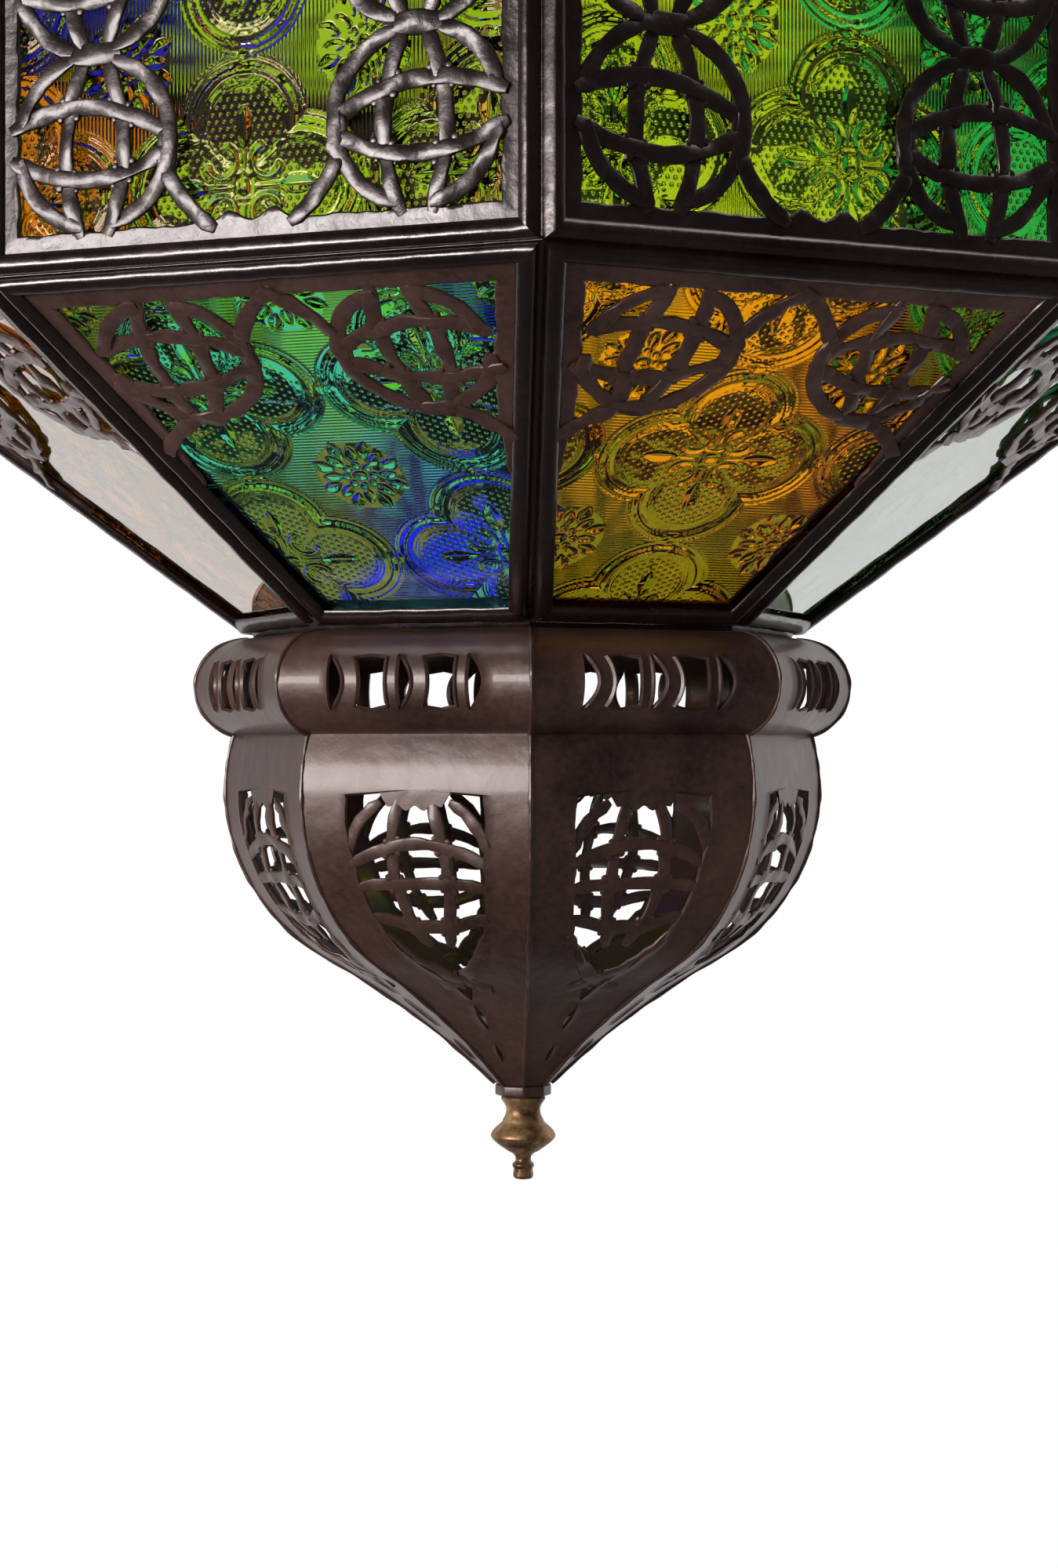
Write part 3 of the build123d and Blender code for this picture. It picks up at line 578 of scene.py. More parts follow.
class Panel:
    """One flat side of the lantern, turned to face +X: places on it are (across, up, out)."""

    def __init__(self, origin, across, up, low_half, high_half, height):
        self.origin = np.array(origin)
        self.across = np.array(across)
        self.up = np.array(up)
        self.out = np.cross(self.across, self.up)
        self.low_half, self.high_half, self.height = low_half, high_half, height
        self.lean = math.atan2(high_half - low_half, height)

    def half(self, up, inset):
        """Half the width at a distance up the side, less an inset square to its edge."""
        wide = self.low_half + (self.high_half - self.low_half) * up / self.height
        return wide - inset / math.cos(self.lean)

    def corners(self, inset):
        low, high = inset, self.height - inset
        wide_low, wide_high = self.half(low, inset), self.half(high, inset)
        return np.array(((-wide_low, low), (wide_low, low), (wide_high, high), (-wide_high, high)))

    def placed(self, points):
        points = np.asarray(points)
        across, up, out = points[:, :1], points[:, 1:2], points[:, 2:3]
        return self.origin + across * self.across + up * self.up + out * self.out

    def read(self, node, angle):
        """A CAD node's points on this side, when the side stands at an angle."""
        points = np.array([vertex.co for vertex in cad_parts[node].data.vertices])
        turned = turned_by(points, -angle) - self.origin
        return np.stack((turned @ self.across, turned @ self.up, turned @ self.out), 1)


belt_apothem = 0.184776
belt_half = 0.076537
neck_apothem = 0.07853
neck_half = 0.032528
upper_neck_height = -0.210893
upper_belt_height = -0.295893
lower_belt_height = -0.405893
lower_neck_height = -0.490893
upright_height = upper_belt_height - lower_belt_height
slant = math.hypot(belt_apothem - neck_apothem, lower_belt_height - lower_neck_height)
slant_out = (belt_apothem - neck_apothem) / slant
slant_rise = (lower_belt_height - lower_neck_height) / slant
upright_side = Panel(
    (belt_apothem, 0, lower_belt_height), (0, 1, 0), (0, 0, 1), belt_half, belt_half, upright_height
)
lower_side = Panel(
    (neck_apothem, 0, lower_neck_height),
    (0, 1, 0),
    (slant_out, 0, slant_rise),
    neck_half,
    belt_half,
    slant,
)
roof_side = Panel(
    (neck_apothem, 0, upper_neck_height),
    (0, -1, 0),
    (slant_out, 0, -slant_rise),
    neck_half,
    belt_half,
    slant,
)
came_iron = patinated_sheet("came_iron", (0.003, 0.0013, 0.0009), (0.014, 0.0066, 0.005), 0.25, 0.0004)
came_lip = 0.0066
came_lip_wall = 0.0012
came_web = 0.0043
came_back = 0.0055
came_depth = 0.0064
lip_crown = 0.00025
groove_depth = 0.0026
mitre_lap = 0.95


def came_section(start, mitre, fold):
    """Half of a came beside its corner, as (inset, out): a lip, the web, the back lip.

    The lip's slope to the groove is rolled round at a fold of 1 and straight at 2."""
    crown = start + 0.42 * (came_lip - start)
    section = [(mitre * groove_depth * mitre_lap, -groove_depth)]
    for step in np.linspace(0, math.pi / 2, 6, endpoint=False):
        rise = groove_depth + lip_crown
        reach, lift = math.cos(step) ** fold, math.sin(step) ** fold
        section.append((crown - (crown - start) * reach, rise * lift - groove_depth))
    for step in np.linspace(math.pi / 2, 0, 7):
        rise = came_lip_wall + lip_crown
        section.append((crown + (came_lip - crown) * math.cos(step), rise * math.sin(step) - came_lip_wall))
    section += [(came_web, -came_lip_wall), (came_web, -came_back), (came_lip, -came_back)]
    section += [(came_lip, -came_depth), (mitre * came_depth * mitre_lap, -came_depth)]
    return section


def came_strip(panel, edge, start, mitre, fold):
    """One edge of a panel's came, mitred with the edges beside it and with the next panel's."""
    section = came_section(start, mitre, fold)
    rings = [panel.corners(inset) for inset, out in section]
    length = math.dist(rings[0][edge], rings[0][(edge + 1) % 4])
    stations = max(2, int(length / 0.005))
    points = []
    for station in range(stations + 1):
        share = station / stations
        ease = min(1, 6 * min(share, 1 - share))
        for (inset, out), ring in zip(section, rings):
            across, up = ring[edge] + (ring[(edge + 1) % 4] - ring[edge]) * share
            lift = 0.5 * ease * ragged(share * length, edge + 3) if out > -came_lip_wall else 0
            points.append((across, up, out + lift))
    size = len(section)
    faces = grid_faces(stations + 1, size, False, True)
    faces += [tuple(range(size)), tuple(range(stations * size, len(points)))]
    return panel.placed(points), faces


groove_start = 0.0013
rim_start = 0.0
post_mitre = math.tan(side_turn / 2)
belt_mitre = math.tan(math.acos(slant_rise) / 2)
bar_mitre = math.tan(math.acos(slant_rise**2 * math.cos(side_turn) + slant_out**2) / 2)
low_edge, right_edge, high_edge, left_edge = range(4)
bar = (groove_start, bar_mitre, 1)
post = (groove_start, post_mitre, 1.7)
belt = (groove_start, belt_mitre, 1)
rim = (rim_start, 0.0, 1)


def rim_skirt(collar_side, frame_side):
    """The steep edge of a rim, drawn in from the inside of the frame to the collar."""
    points = []
    for inset in (0.0022, 0.001):
        for height, drawn_in in ((collar_side, 0.0018), (frame_side, 0)):
            apothem = neck_apothem - inset - drawn_in
            points += [(apothem, turn * apothem * octagon_share, height) for turn in (-1, 1)]
    faces = [(4, 5, 7, 6), (1, 0, 2, 3), (2, 6, 7, 3), (0, 1, 5, 4), (0, 4, 6, 2), (1, 3, 7, 5)]
    return np.array(points), faces


skirts = {
    "neck_rim_top": [rim_skirt(-0.2103, -0.2155)],
    "neck_rim_bottom": [rim_skirt(-0.4915, -0.4863)],
}
for name, node, strips in (
    ("neck_rim_top", "upper_rim", [(roof_side, low_edge, *rim)]),
    ("roof_cames", "roof_bars", [(roof_side, left_edge, *bar), (roof_side, right_edge, *bar)]),
    ("belt_top", "upper_belt", [(roof_side, high_edge, *belt), (upright_side, high_edge, *belt)]),
    ("posts", "corner_posts", [(upright_side, left_edge, *post), (upright_side, right_edge, *post)]),
    ("belt_bottom", "lower_belt", [(upright_side, low_edge, *belt), (lower_side, high_edge, *belt)]),
    ("slant_cames", "lower_bars", [(lower_side, left_edge, *bar), (lower_side, right_edge, *bar)]),
    ("neck_rim_bottom", "lower_rim", [(lower_side, low_edge, *rim)]),
):
    came_points, came_faces = joined(*[came_strip(*strip) for strip in strips], *skirts.get(name, []))
    came = tidy_mesh(new_piece(name, came_points, came_faces, came_iron))
    all_round(came, came_iron)
    built_in(came, "lantern", "dark_metal", node)

# Pierced sheets
# Each side has a sheet cut out by chisel: a flat border, with globes of woven straps standing
# in the corners. The straps are hammered round, and their ends run into the border.


def strap_tree():
    """Flattened straps of uneven width along flat paths, with their level axis across."""
    paths, width, thickness, wander, material = open_tree(
        "hammered straps", Paths="Geometry", Width="Float", Thickness="Float", Wander="Float"
    )
    place = paths.node("GeometryNodeInputPosition", {}, {})
    curve = paths.node("GeometryNodeMeshToCurve", {}, {0: paths})
    level = curve.node("GeometryNodeSetCurveNormal", {"mode": "Z_UP"}, {"Curve": curve})
    drift = place.noise(95, 1, output="Color")
    centred = drift.node("ShaderNodeVectorMath", {"operation": "SUBTRACT"}, {0: drift, 1: (0.5, 0.5, 0.5)})
    offset = drift.node("ShaderNodeVectorMath", {"operation": "SCALE"}, {0: centred, "Scale": wander})
    wandered = level.node("GeometryNodeSetPosition", {}, {"Geometry": level, "Offset": offset})
    turning = place.noise(130, 1)
    tilt = turning.math("MULTIPLY_ADD", turning, 1.5, -0.75)
    twisted = wandered.node("GeometryNodeSetCurveTilt", {}, {"Curve": wandered, "Tilt": tilt})
    swell = place.noise(210, 1)
    size = swell.math("MULTIPLY_ADD", swell, 0.6, 0.7)
    along = paths.node("GeometryNodeSplineParameter", {}, {}, "Factor")
    end = along.math("MINIMUM", along, 1 - along)
    tip = end.math("MINIMUM", end.math("MULTIPLY_ADD", end, 7, 0.6), 1)
    flat = paths.node(
        "GeometryNodeCurvePrimitiveQuadrilateral", {}, {"Width": width, "Height": thickness}
    )
    fillet = {"Curve": flat, "Radius": thickness * 0.46, "Count": 2}
    profile = flat.node("GeometryNodeFilletCurve", {"mode": "POLY"}, fillet)
    sweep = {"Curve": twisted, "Profile Curve": profile, "Scale": size * tip, "Fill Caps": True}
    swept = twisted.node("GeometryNodeCurveToMesh", {}, sweep)
    return close_tree(swept.node("GeometryNodeSetShadeSmooth", {}, {"Geometry": swept}), material)


straps = strap_tree()
# Painted light: the slanted lower and roof sheets get a lighter, warmer copy of the sheet iron than the
# upright sides, standing in for light that no lamp gives.
lit_strap_iron = patinated_sheet("lit_strap_iron", (0.021, 0.009, 0.0066), (0.078, 0.037, 0.029), 0.32, 0.0006)
strap_width = 0.0044
strap_thickness = 0.0013
strap_wander = 0.0009
knot_width = 0.0056
burr_size = 0.0011


def burr_tree():
    """Small uneven burrs, one on each point."""
    places, size, material = open_tree("chisel burrs", Places="Geometry", Size="Float")
    ball = places.node("GeometryNodeMeshUVSphere", {}, {"Segments": 7, "Rings": 4, "Radius": 1})
    spread = {2: 0.6, 3: 1.25, "Seed": 5}
    uneven = size * places.node("FunctionNodeRandomValue", {"data_type": "FLOAT"}, spread, 1)
    flat = size.node("ShaderNodeVectorMath", {"operation": "SCALE"}, {0: (1, 1, 0.7), "Scale": uneven})
    inputs = {"Points": places, "Instance": ball, "Scale": flat}
    copies = places.node("GeometryNodeInstanceOnPoints", {}, inputs)
    return close_tree(copies.node("GeometryNodeSetShadeSmooth", {}, {"Geometry": copies}), material)


burrs = burr_tree()


def worked(points, edges, tree, values):
    """The points and faces that a tree of nodes makes of points and edges."""
    mesh = bpy.data.meshes.new("layout")
    mesh.from_pydata(points, edges, [])
    piece = bpy.data.objects.new("layout", mesh)
    bpy.context.scene.collection.objects.link(piece)
    shaped_by(piece, tree, {**values, "Material": lit_strap_iron})
    made = np.array([vertex.co for vertex in piece.data.vertices])
    faces = [tuple(polygon.vertices) for polygon in piece.data.polygons]
    bpy.data.objects.remove(piece)
    return made, faces


def crossings(first, second):
    """Where two flat paths cross, with the direction of each there."""
    one, two = np.array(first)[:, :2], np.array(second)[:, :2]
    steps = two[1:] - two[:-1]
    found = []
    for place, step in zip(one[:-1], one[1:] - one[:-1]):
        gap = two[:-1] - place
        turn = step[0] * steps[:, 1] - step[1] * steps[:, 0]
        turn = np.where(np.abs(turn) < 1e-12, 1e-12, turn)
        near = (gap[:, 0] * steps[:, 1] - gap[:, 1] * steps[:, 0]) / turn
        far = (gap[:, 0] * step[1] - gap[:, 1] * step[0]) / turn
        for hit in np.nonzero((near >= 0) & (near < 1) & (far >= 0) & (far < 1))[0]:
            other = steps[hit] / np.linalg.norm(steps[hit])
            found.append((place + step * near[hit], step / np.linalg.norm(step), other))
    return found


def burr_mesh(paths, width):
    """Burrs in the corners where straps cross, away from their ends."""
    places = []
    for number, path in enumerate(paths):
        for other in paths[number + 1 :]:
            for middle, one, two in crossings(path, other):
                sine = abs(one[0] * two[1] - one[1] * two[0])
                ends = [math.dist(middle, end[:2]) for end in (path[0], path[-1], other[0], other[-1])]
                if sine > 0.45 and min(ends) > 1.3 * width:
                    for ahead in (-1, 1):
                        for beside in (-1, 1):
                            corner = middle + 0.52 * width / sine * (ahead * one + beside * two)
                            places.append((*corner, 0.0001))
    return worked(places, [], burrs, {"Size": burr_size})


def strap_mesh(paths, width):
    """Straps along flat paths of (across, up, height)."""
    points, edges = [], []
    for path in paths:
        base = len(points)
        points += [tuple(point) for point in path]
        edges += [(base + place, base + place + 1) for place in range(len(path) - 1)]
    values = {"Width": width, "Thickness": strap_thickness, "Wander": strap_wander}
    return worked(points, edges, straps, values)


def woven(paths, knots, width, knot_width):
    """Straps, the knots that bind them, and their burrs."""
    return joined(strap_mesh(paths, width), strap_mesh(knots, knot_width), burr_mesh(paths, width))


weave = 0.0003
strap_step = 0.0022


def bow(start, end, sag, over):
    """A strap from start to end that bows out by sag, and weaves under or over."""
    start, end = np.array(start), np.array(end)
    length = math.dist(start, end)
    side = np.array((start[1] - end[1], end[0] - start[0])) / length
    path = []
    for share in np.linspace(0, 1, max(6, int(length / strap_step))):
        place = start + (end - start) * share + side * 4 * sag * share * (1 - share)
        path.append((*place, over * weave * math.cos(3 * 2 * math.pi * (share - 0.5))))
    return path


def ring_arc(radius, first, last, over):
    """Part of a globe's ring, between two angles in degrees."""
    count = max(6, int(math.radians(abs(last - first)) * radius / strap_step))
    path = []
    for angle in np.linspace(math.radians(first), math.radians(last), count):
        height = over * weave * math.cos(4 * angle)
        path.append((radius * math.cos(angle), radius * math.sin(angle), height))
    return path


def placed_straps(paths, middle, side, flip):
    """Straps of a globe drawn with its border at +X, mirrored across or upside down, and moved."""
    return [[(middle[0] + side * x, middle[1] + flip * y, h) for x, y, h in path] for path in paths]


def border_mesh(outer, inner, closed):
    """A border between two lines of (across, up), its inner edge hammered up and rounded."""
    section = ((0, 0), (0.5, 0), (0.8, 0.16), (0.93, 0.3), (1, 0), (1, -0.8), (0, -1))
    points = []
    for away, near in zip(outer, inner):
        for share, height in section:
            across, up = away + (near - away) * share
            points.append((across, up, height * 0.001))
    size = len(section)
    faces = grid_faces(len(outer), size, closed, True)
    if not closed:
        faces += [tuple(range(size)), tuple(range(len(points) - size, len(points)))]
    return np.array(points), faces


sheet_out = -0.0013
strap_out = -0.001


def globe(radius, drawn_radius, arcs, bows, knots):
    """A globe's straps and its knots; the bows and knots are drawn at a radius of their own."""
    scale = radius / drawn_radius
    paths = [ring_arc(radius * share, first, last, 1) for share, first, last in arcs]
    drawn = [[(x * scale, y * scale, h) for x, y, h in bow(*line)] for line in (*bows, *knots)]
    return paths + drawn[: len(bows)], drawn[len(bows) :]


def strapped(border, straps_and_knots, places):
    """A border, with a globe at each (middle, side, flip) of places."""
    border[0][:, 2] += sheet_out
    paths, knots = (
        [path for place in places for path in placed_straps(drawn, *place)] for drawn in straps_and_knots
    )
    strap_points, strap_faces = woven(paths, knots, strap_width, knot_width)
    strap_points[:, 2] += strap_out
    return joined(border, (strap_points, strap_faces))


# A lower globe of an upright side has its border at +X and below, and the next globe above.
upright_globe = (
    0.0221,
    ((0.96, 104, 258), (1, 74, 12), (0.98, -8, -80)),
    (
        ((-0.003, 0.0205), (-0.0034, -0.0236), -0.0052, 1),
        ((0.003, 0.0205), (0.0042, -0.0236), 0.0046, 1),
        ((-0.0208, 0.0004), (0.024, 0.0043), 0.0064, -1),
        ((-0.0204, -0.0034), (0.024, -0.003), -0.0062, -1),
        ((-0.0196, -0.0074), (-0.0335, -0.0236), 0.0016, 1),
    ),
    (((-0.0072, 0.0222), (0.0072, 0.0222), 0, 0), ((-0.0208, 0.0026), (-0.0202, -0.0086), 0, 0)),
)


def upright_sheet(half, low, high, width):
    """Border, four globes and their tails for an upright side or the door."""
    count = 60
    corners = ((-1, -1), (1, -1), (1, 1), (-1, 1))
    middle, tall = (low + high) / 2, (high - low) / 2
    outer, inner = [], []
    for number, (cx, cy) in enumerate(corners):
        nx, ny = corners[(number + 1) % 4]
        for share in np.linspace(0, 1, count, endpoint=False):
            sx, sy = cx + (nx - cx) * share, cy + (ny - cy) * share
            outer.append(np.array((sx * half, middle + sy * tall)))
            along = sx * half if cy == ny else sy * tall
            extra = ragged(along, number + 2)
            if cy == ny:
                extra += 0.003 * math.exp(-(((abs(along) - 0.0062) / 0.0034) ** 2))
            ease = min(1, (1 - abs(sx if cy == ny else sy)) * 12)
            x, y = sx * (half - width), middle + sy * (tall - width)
            if cy == ny:
                y -= cy * extra * ease
            else:
                x -= nx * extra * ease
            inner.append(np.array((x, y)))
    radius = (tall - width) / 2
    places = []
    for side in (-1, 1):
        for flip in (-1, 1):
            places.append(((side * (half - width - radius), middle - flip * radius), side, flip))
    return strapped(border_mesh(outer, inner, True), globe(radius, *upright_globe), places)


# Painted shade: the upright sides' and the door's pierced sheets get a much darker copy of the sheet iron,
# standing in for the little light that reaches them.
shaded_upright_iron = patinated_sheet("shaded_upright_iron", (0.002, 0.0009, 0.0005), (0.014, 0.006, 0.004), 0.36, 0.0009)


def pierced(name, panel, mesh, count, first, body, node, iron=lit_strap_iron):
    piece = tidy_mesh(new_piece(name, panel.placed(mesh[0]), mesh[1], iron))
    all_round(piece, iron, count, first)
    return built_in(piece, body, "dark_metal", node)


border_width = 0.0065
door_side = math.radians(112.5)
pierced(
    "pierced_uprights",
    upright_side,
    upright_sheet(belt_half - came_web, came_web, upright_height - came_web, border_width),
    7,
    door_side + side_turn,
    "lantern",
    "upright_filigrees",
    shaded_upright_iron,
)

lower_top_border = 0.012
lower_side_border = 0.0114
lower_side_foot = 0.058
lower_globe = 0.0204
# The globe in a slanted side's upper corner has its borders at +X and above.
slanted_globe = (
    0.0204,
    ((0.97, 102, 258), (1, 78, 10), (0.97, 284, 352)),
    (
        ((-0.005, 0.0214), (-0.0022, -0.0196), -0.0036, 1),
        ((0.0042, 0.0214), (0.0036, -0.0196), 0.004, 1),
        ((-0.0192, 0.002), (0.0224, 0.0046), 0.0058, -1),
        ((-0.0192, -0.0022), (0.0224, -0.0066), -0.0054, -1),
        ((-0.019, 0.0052), (-0.0345, 0.0226), -0.0018, 1),
        ((0.003, -0.0206), (0.0185, -0.0345), 0.002, 1),
    ),
    (((-0.0194, 0.0062), (-0.0194, -0.0046), 0, 0), ((-0.0056, -0.0202), (0.0064, -0.0206), 0, 0)),
)


def lower_sheet():
    """Border along the top and half of both sides, with a globe in each upper corner."""
    side = lower_side
    top = slant - came_web
    foot_width = came_web + 0.0022
    outer, inner = [], []
    side_run = np.linspace(lower_side_foot, top, 50)
    for up in side_run[:-1]:
        share = (up - lower_side_foot) / (top - lower_side_foot)
        width = foot_width + (lower_side_border - foot_width) * min(1, share * 2.2) ** 0.7
        width += ragged(up, 5)
        outer.append(np.array((side.half(up, came_web), up)))
        low = min(up, slant - lower_top_border)
        inner.append(np.array((side.half(low, width), low)))
    for share in np.linspace(1, -1, 70):
        outer.append(np.array((share * side.half(top, came_web), top)))
        up = slant - lower_top_border
        reach = side.half(up, lower_side_border)
        dip = ragged(share * reach, 7) * min(1, (1 - abs(share)) * 12)
        inner.append(np.array((share * reach, up - dip)))
    for place in range(len(side_run) - 2, -1, -1):
        outer.append(outer[place] * (-1, 1))
        inner.append(inner[place] * (-1, 1))
    globe_up = slant - lower_top_border - lower_globe
    globe_across = side.half(globe_up, lower_side_border + lower_globe)
    places = [((flip * globe_across, globe_up), flip, 1) for flip in (-1, 1)]
    return strapped(border_mesh(outer, inner, False), globe(lower_globe, *slanted_globe), places)


pierced("pierced_lowers", lower_side, lower_sheet(), 8, first_side, "lantern", "lower_filigrees")
pierced("pierced_roofs", roof_side, lower_sheet(), 8, first_side, "lantern", "roof_borders")

# Glass panes
# Cathedral glass rolled on an engraved roller, three millimetres thick: the outside is smooth
# and the inside carries quatrefoils, rosettes, stipple and fine lines. Panes are tinted in the mass.

pattern_pitch = 0.065
lobe_reach = 0.0153
pressed_depth = 0.0007


def leaf(along, across, length, width):
    """A pointed leaf with a ridge down its middle, one high at its centre."""
    half = np.clip(1 - (along / length) ** 2, 1e-6, None) * width
    return np.clip(1 - np.abs(across) / half, 0, 1) * (np.abs(along) < length)


def dome_bead(x, y, wide, tall):
    return np.sqrt(np.clip(1 - (x / wide) ** 2 - (y / tall) ** 2, 0, 1))


def lobe_relief(distance):
    """Height across a lobe's outline, by the distance from its centre: lines, ledges and steps."""
    inner = ((0.0, 0.15), (0.01, 0.15), (0.0106, 0.45), (0.0109, 0.22), (0.0114, 0.55), (0.0118, 0.2))
    ledges = ((0.0121, 0.6), (0.0138, 0.22), (0.0141, 0.06), (0.0144, 0.06), (0.0147, 0.9), (0.0163, 0.35))
    rim = ((0.0166, 0.3), (0.0169, 0.66), (0.0173, 0.28), (0.0177, 0.12), (0.05, 0.12))
    places, heights = zip(*inner, *ledges, *rim)
    return np.interp(distance, places, heights)


def rolled_pattern(u, v):
    """Relief from 0 to 1 of the rolled glass, and where its stipple and its fine lines are."""
    half = pattern_pitch / 2
    x = np.abs((u + half) % pattern_pitch - half)
    y = np.abs((v + half) % pattern_pitch - half)
    far, near = np.maximum(x, y), np.minimum(x, y)
    distance = np.hypot(far - lobe_reach, near)
    relief = lobe_relief(distance)
    bud = leaf(far - 0.0148, near, 0.0052, 0.0029)
    stem = 0.6 * leaf(far - 0.0065, near, 0.0042, 0.0016)
    bead = dome_bead(x, y, 0.0026, 0.0018)
    ring = np.hypot(x - 0.0062, y - 0.0062)
    curl = np.exp(-(((ring - 0.004) / 0.0009) ** 2)) * (x + y < 0.0155)
    stud = np.clip(1 - (np.abs(far - half) + near) / 0.0036, 0, 1)
    rx, ry = half - x, half - y
    reach, turn = np.hypot(rx, ry), np.arctan2(ry, rx)
    eighth = math.pi / 4
    swing = (turn + eighth / 2) % eighth - eighth / 2
    offset = turn % eighth - eighth / 2
    eye = dome_bead(rx, ry, 0.0021, 0.0016)
    pips = dome_bead(reach * np.cos(swing) - 0.0039, reach * np.sin(swing), 0.0012, 0.0012)
    petals = leaf(reach * np.cos(swing) - 0.0078, reach * np.sin(swing), 0.0027, 0.0018) ** 0.6
    darts = leaf(reach * np.cos(offset) - 0.0102, reach * np.sin(offset), 0.003, 0.0024)
    foils = (relief, bud, stem, 0.9 * bead, 0.75 * curl, stud)
    rosette = (0.8 * petals, 0.95 * darts, 0.8 * eye, 0.6 * pips)
    relief = np.maximum.reduce((*foils, *rosette))
    plain = 1 - np.clip(4 * (bud + stem + bead + 0.5 * curl), 0, 1)
    stipple = np.clip((0.0103 - distance) / 0.0005, 0, 1) * plain
    lines = np.clip((distance - 0.0175) / 0.0005, 0, 1) * (reach > 0.0125) * (stud <= 0)
    return relief, stipple, lines


def rolled_glass(name, tint, streak=None):
    """Tinted glass; a streak is a second tint, the way it lies, and where it starts and ends."""
    material, shader, place = new_finish(name)
    on_glass = place.node("ShaderNodeUVMap", {"uv_map": "pattern"}, {})
    u, v = (place.node("ShaderNodeSeparateXYZ", {}, {"Vector": on_glass}, axis) for axis in (0, 1))
    stipple, lines = (
        place.node("ShaderNodeAttribute", {"attribute_name": mark}, {}, 2)
        for mark in ("stipple", "fine_lines")
    )
    dot_pace = 2 * math.pi / 0.00182
    dots = u.math("COSINE", u * dot_pace)
    dots += u.math("COSINE", (v * 0.866 - u * 0.5) * dot_pace)
    dots += u.math("COSINE", (v * 0.866 + u * 0.5) * dot_pace)
    rows = u.math("SINE", v * (2 * math.pi / 0.00105))
    waviness = place.noise(55, 2)
    beads = u.math("SQRT", u.math("MAXIMUM", (dots - 0.2) * 0.36, 0.0))
    relief = 0.45 * beads * stipple + 0.08 * rows * lines + 0.12 * waviness
    relief.bump(0.0005).into(shader, "Normal")
    if streak:
        second, way, first, last = streak
        along = place.node("ShaderNodeVectorMath", {"operation": "DOT_PRODUCT"}, {0: place, 1: way}, 1)
        share = (along + 0.03 * (place.noise(32, 2) - 0.5)).eased(first, last)
        tints = {0: share, 6: (*tint, 1), 7: (*second, 1)}
        share.node("ShaderNodeMix", {"data_type": "RGBA"}, tints, 2).into(shader, "Base Color")
    fixed(shader, {"Base Color": (*tint, 1), "Roughness": 0.02, "IOR": 1.5, "Transmission Weight": 1})
    fixed(shader, {"Coat Weight": 1 if tint in slanting_tints else 0})
    return material


glass_tints = {
    "teal": (0.03, 0.52, 0.4),
    "amber": (0.9, 0.34, 0.01),
    "green": (0.26, 0.5, 0.24),
    "lime": (0.38, 0.8, 0.02),
    "amethyst": (0.62, 0.36, 0.6),
    "blue": (0.015, 0.02, 0.85),
    "yellow": (0.82, 0.66, 0.05),
    "pale_teal": (0.3, 0.76, 0.92),
    "pale_amber": (1.0, 0.46, 0.03),
    "pale_lime": (0.48, 0.8, 0.14),
    "pale_amethyst": (0.84, 0.64, 0.45),
}
slanting_tints = (glass_tints["amber"], glass_tints["green"])
glasses = {tint: rolled_glass("glass_" + tint, colour) for tint, colour in glass_tints.items()}
streak_way = (math.sin(door_side), -math.cos(door_side), -1.4)
glasses["streaked_blue"] = rolled_glass(
    "glass_streaked_blue", (0.62, 0.27, 0.03), (glass_tints["blue"], streak_way, 0.64, 0.656)
)
glasses["streaked_lime"] = rolled_glass(
    "glass_streaked_lime", (0.2, 0.74, 0.36), (glass_tints["lime"], (0, 0, 1), -0.37, -0.35)
)


def grid_rim(rows, columns):
    """The points round the edge of a grid, in order."""
    rim = list(range(columns))
    rim += [row * columns + columns - 1 for row in range(1, rows)]
    rim += [(rows - 1) * columns + column for column in range(columns - 2, -1, -1)]
    return rim + [row * columns for row in range(rows - 2, 0, -1)]


def pane(name, panel, node, side, tint, bloom, turn, grid, body="lantern"):
    """A pane with its rolled face inside, a quatrefoil at bloom, as large as the CAD solid there."""
    angle = first_side + side_turn * (side - 1)
    solid = panel.read(node, angle)
    low, high = solid[:, 1].min(), solid[:, 1].max()
    low_half = solid[np.abs(solid[:, 1] - low) < 1e-4, 0].max()
    high_half = solid[np.abs(solid[:, 1] - high) < 1e-4, 0].max()
    front, back = solid[:, 2].max(), solid[:, 2].min()
    rows = int((high - low) / grid) + 1
    columns = int(2 * max(low_half, high_half) / grid) + 1
    up = np.repeat(np.linspace(low, high, rows), columns)
    share = np.tile(np.linspace(-1, 1, columns), rows)
    across = share * (low_half + (high_half - low_half) * (up - low) / (high - low))
    cos, sin = math.cos(turn), math.sin(turn)
    u = cos * (across - bloom[0]) + sin * (up - bloom[1])
    v = -sin * (across - bloom[0]) + cos * (up - bloom[1])
    relief, stipple, lines = rolled_pattern(u, v)
    inside = back + pressed_depth * (1 - np.clip(relief, 0, 1))
    points = np.stack((across, up, inside), 1)
    rim = grid_rim(rows, columns)
    total = rows * columns
    outside = np.stack((across[rim], up[rim], np.full(len(rim), front)), 1)
    faces = [(a, d, c, b) for a, b, c, d in grid_faces(rows, columns)]
    for place in range(len(rim)):
        after = (place + 1) % len(rim)
        faces.append((rim[place], rim[after], total + after, total + place))
    faces.append(tuple(total + place for place in range(len(rim))))
    placed = turned_by(panel.placed(np.concatenate((points, outside))), angle)
    piece = new_piece(name, placed, faces, glasses[tint])
    mesh = piece.data
    for mark, values in (("stipple", stipple), ("fine_lines", lines)):
        values = np.concatenate((values, np.zeros(len(rim)))).astype(np.float32)
        mesh.attributes.new(mark, "FLOAT", "POINT").data.foreach_set("value", values)
    flat = np.stack((np.concatenate((u, u[rim])), np.concatenate((v, v[rim]))), 1)
    corner = np.empty(len(mesh.loops), np.int32)
    mesh.loops.foreach_get("vertex_index", corner)
    layer = mesh.uv_layers.new(name="pattern")
    layer.data.foreach_set("uv", flat[corner].astype(np.float32).ravel())
    return built_in(piece, body, "glass_" + tint.split("_")[-1], node)


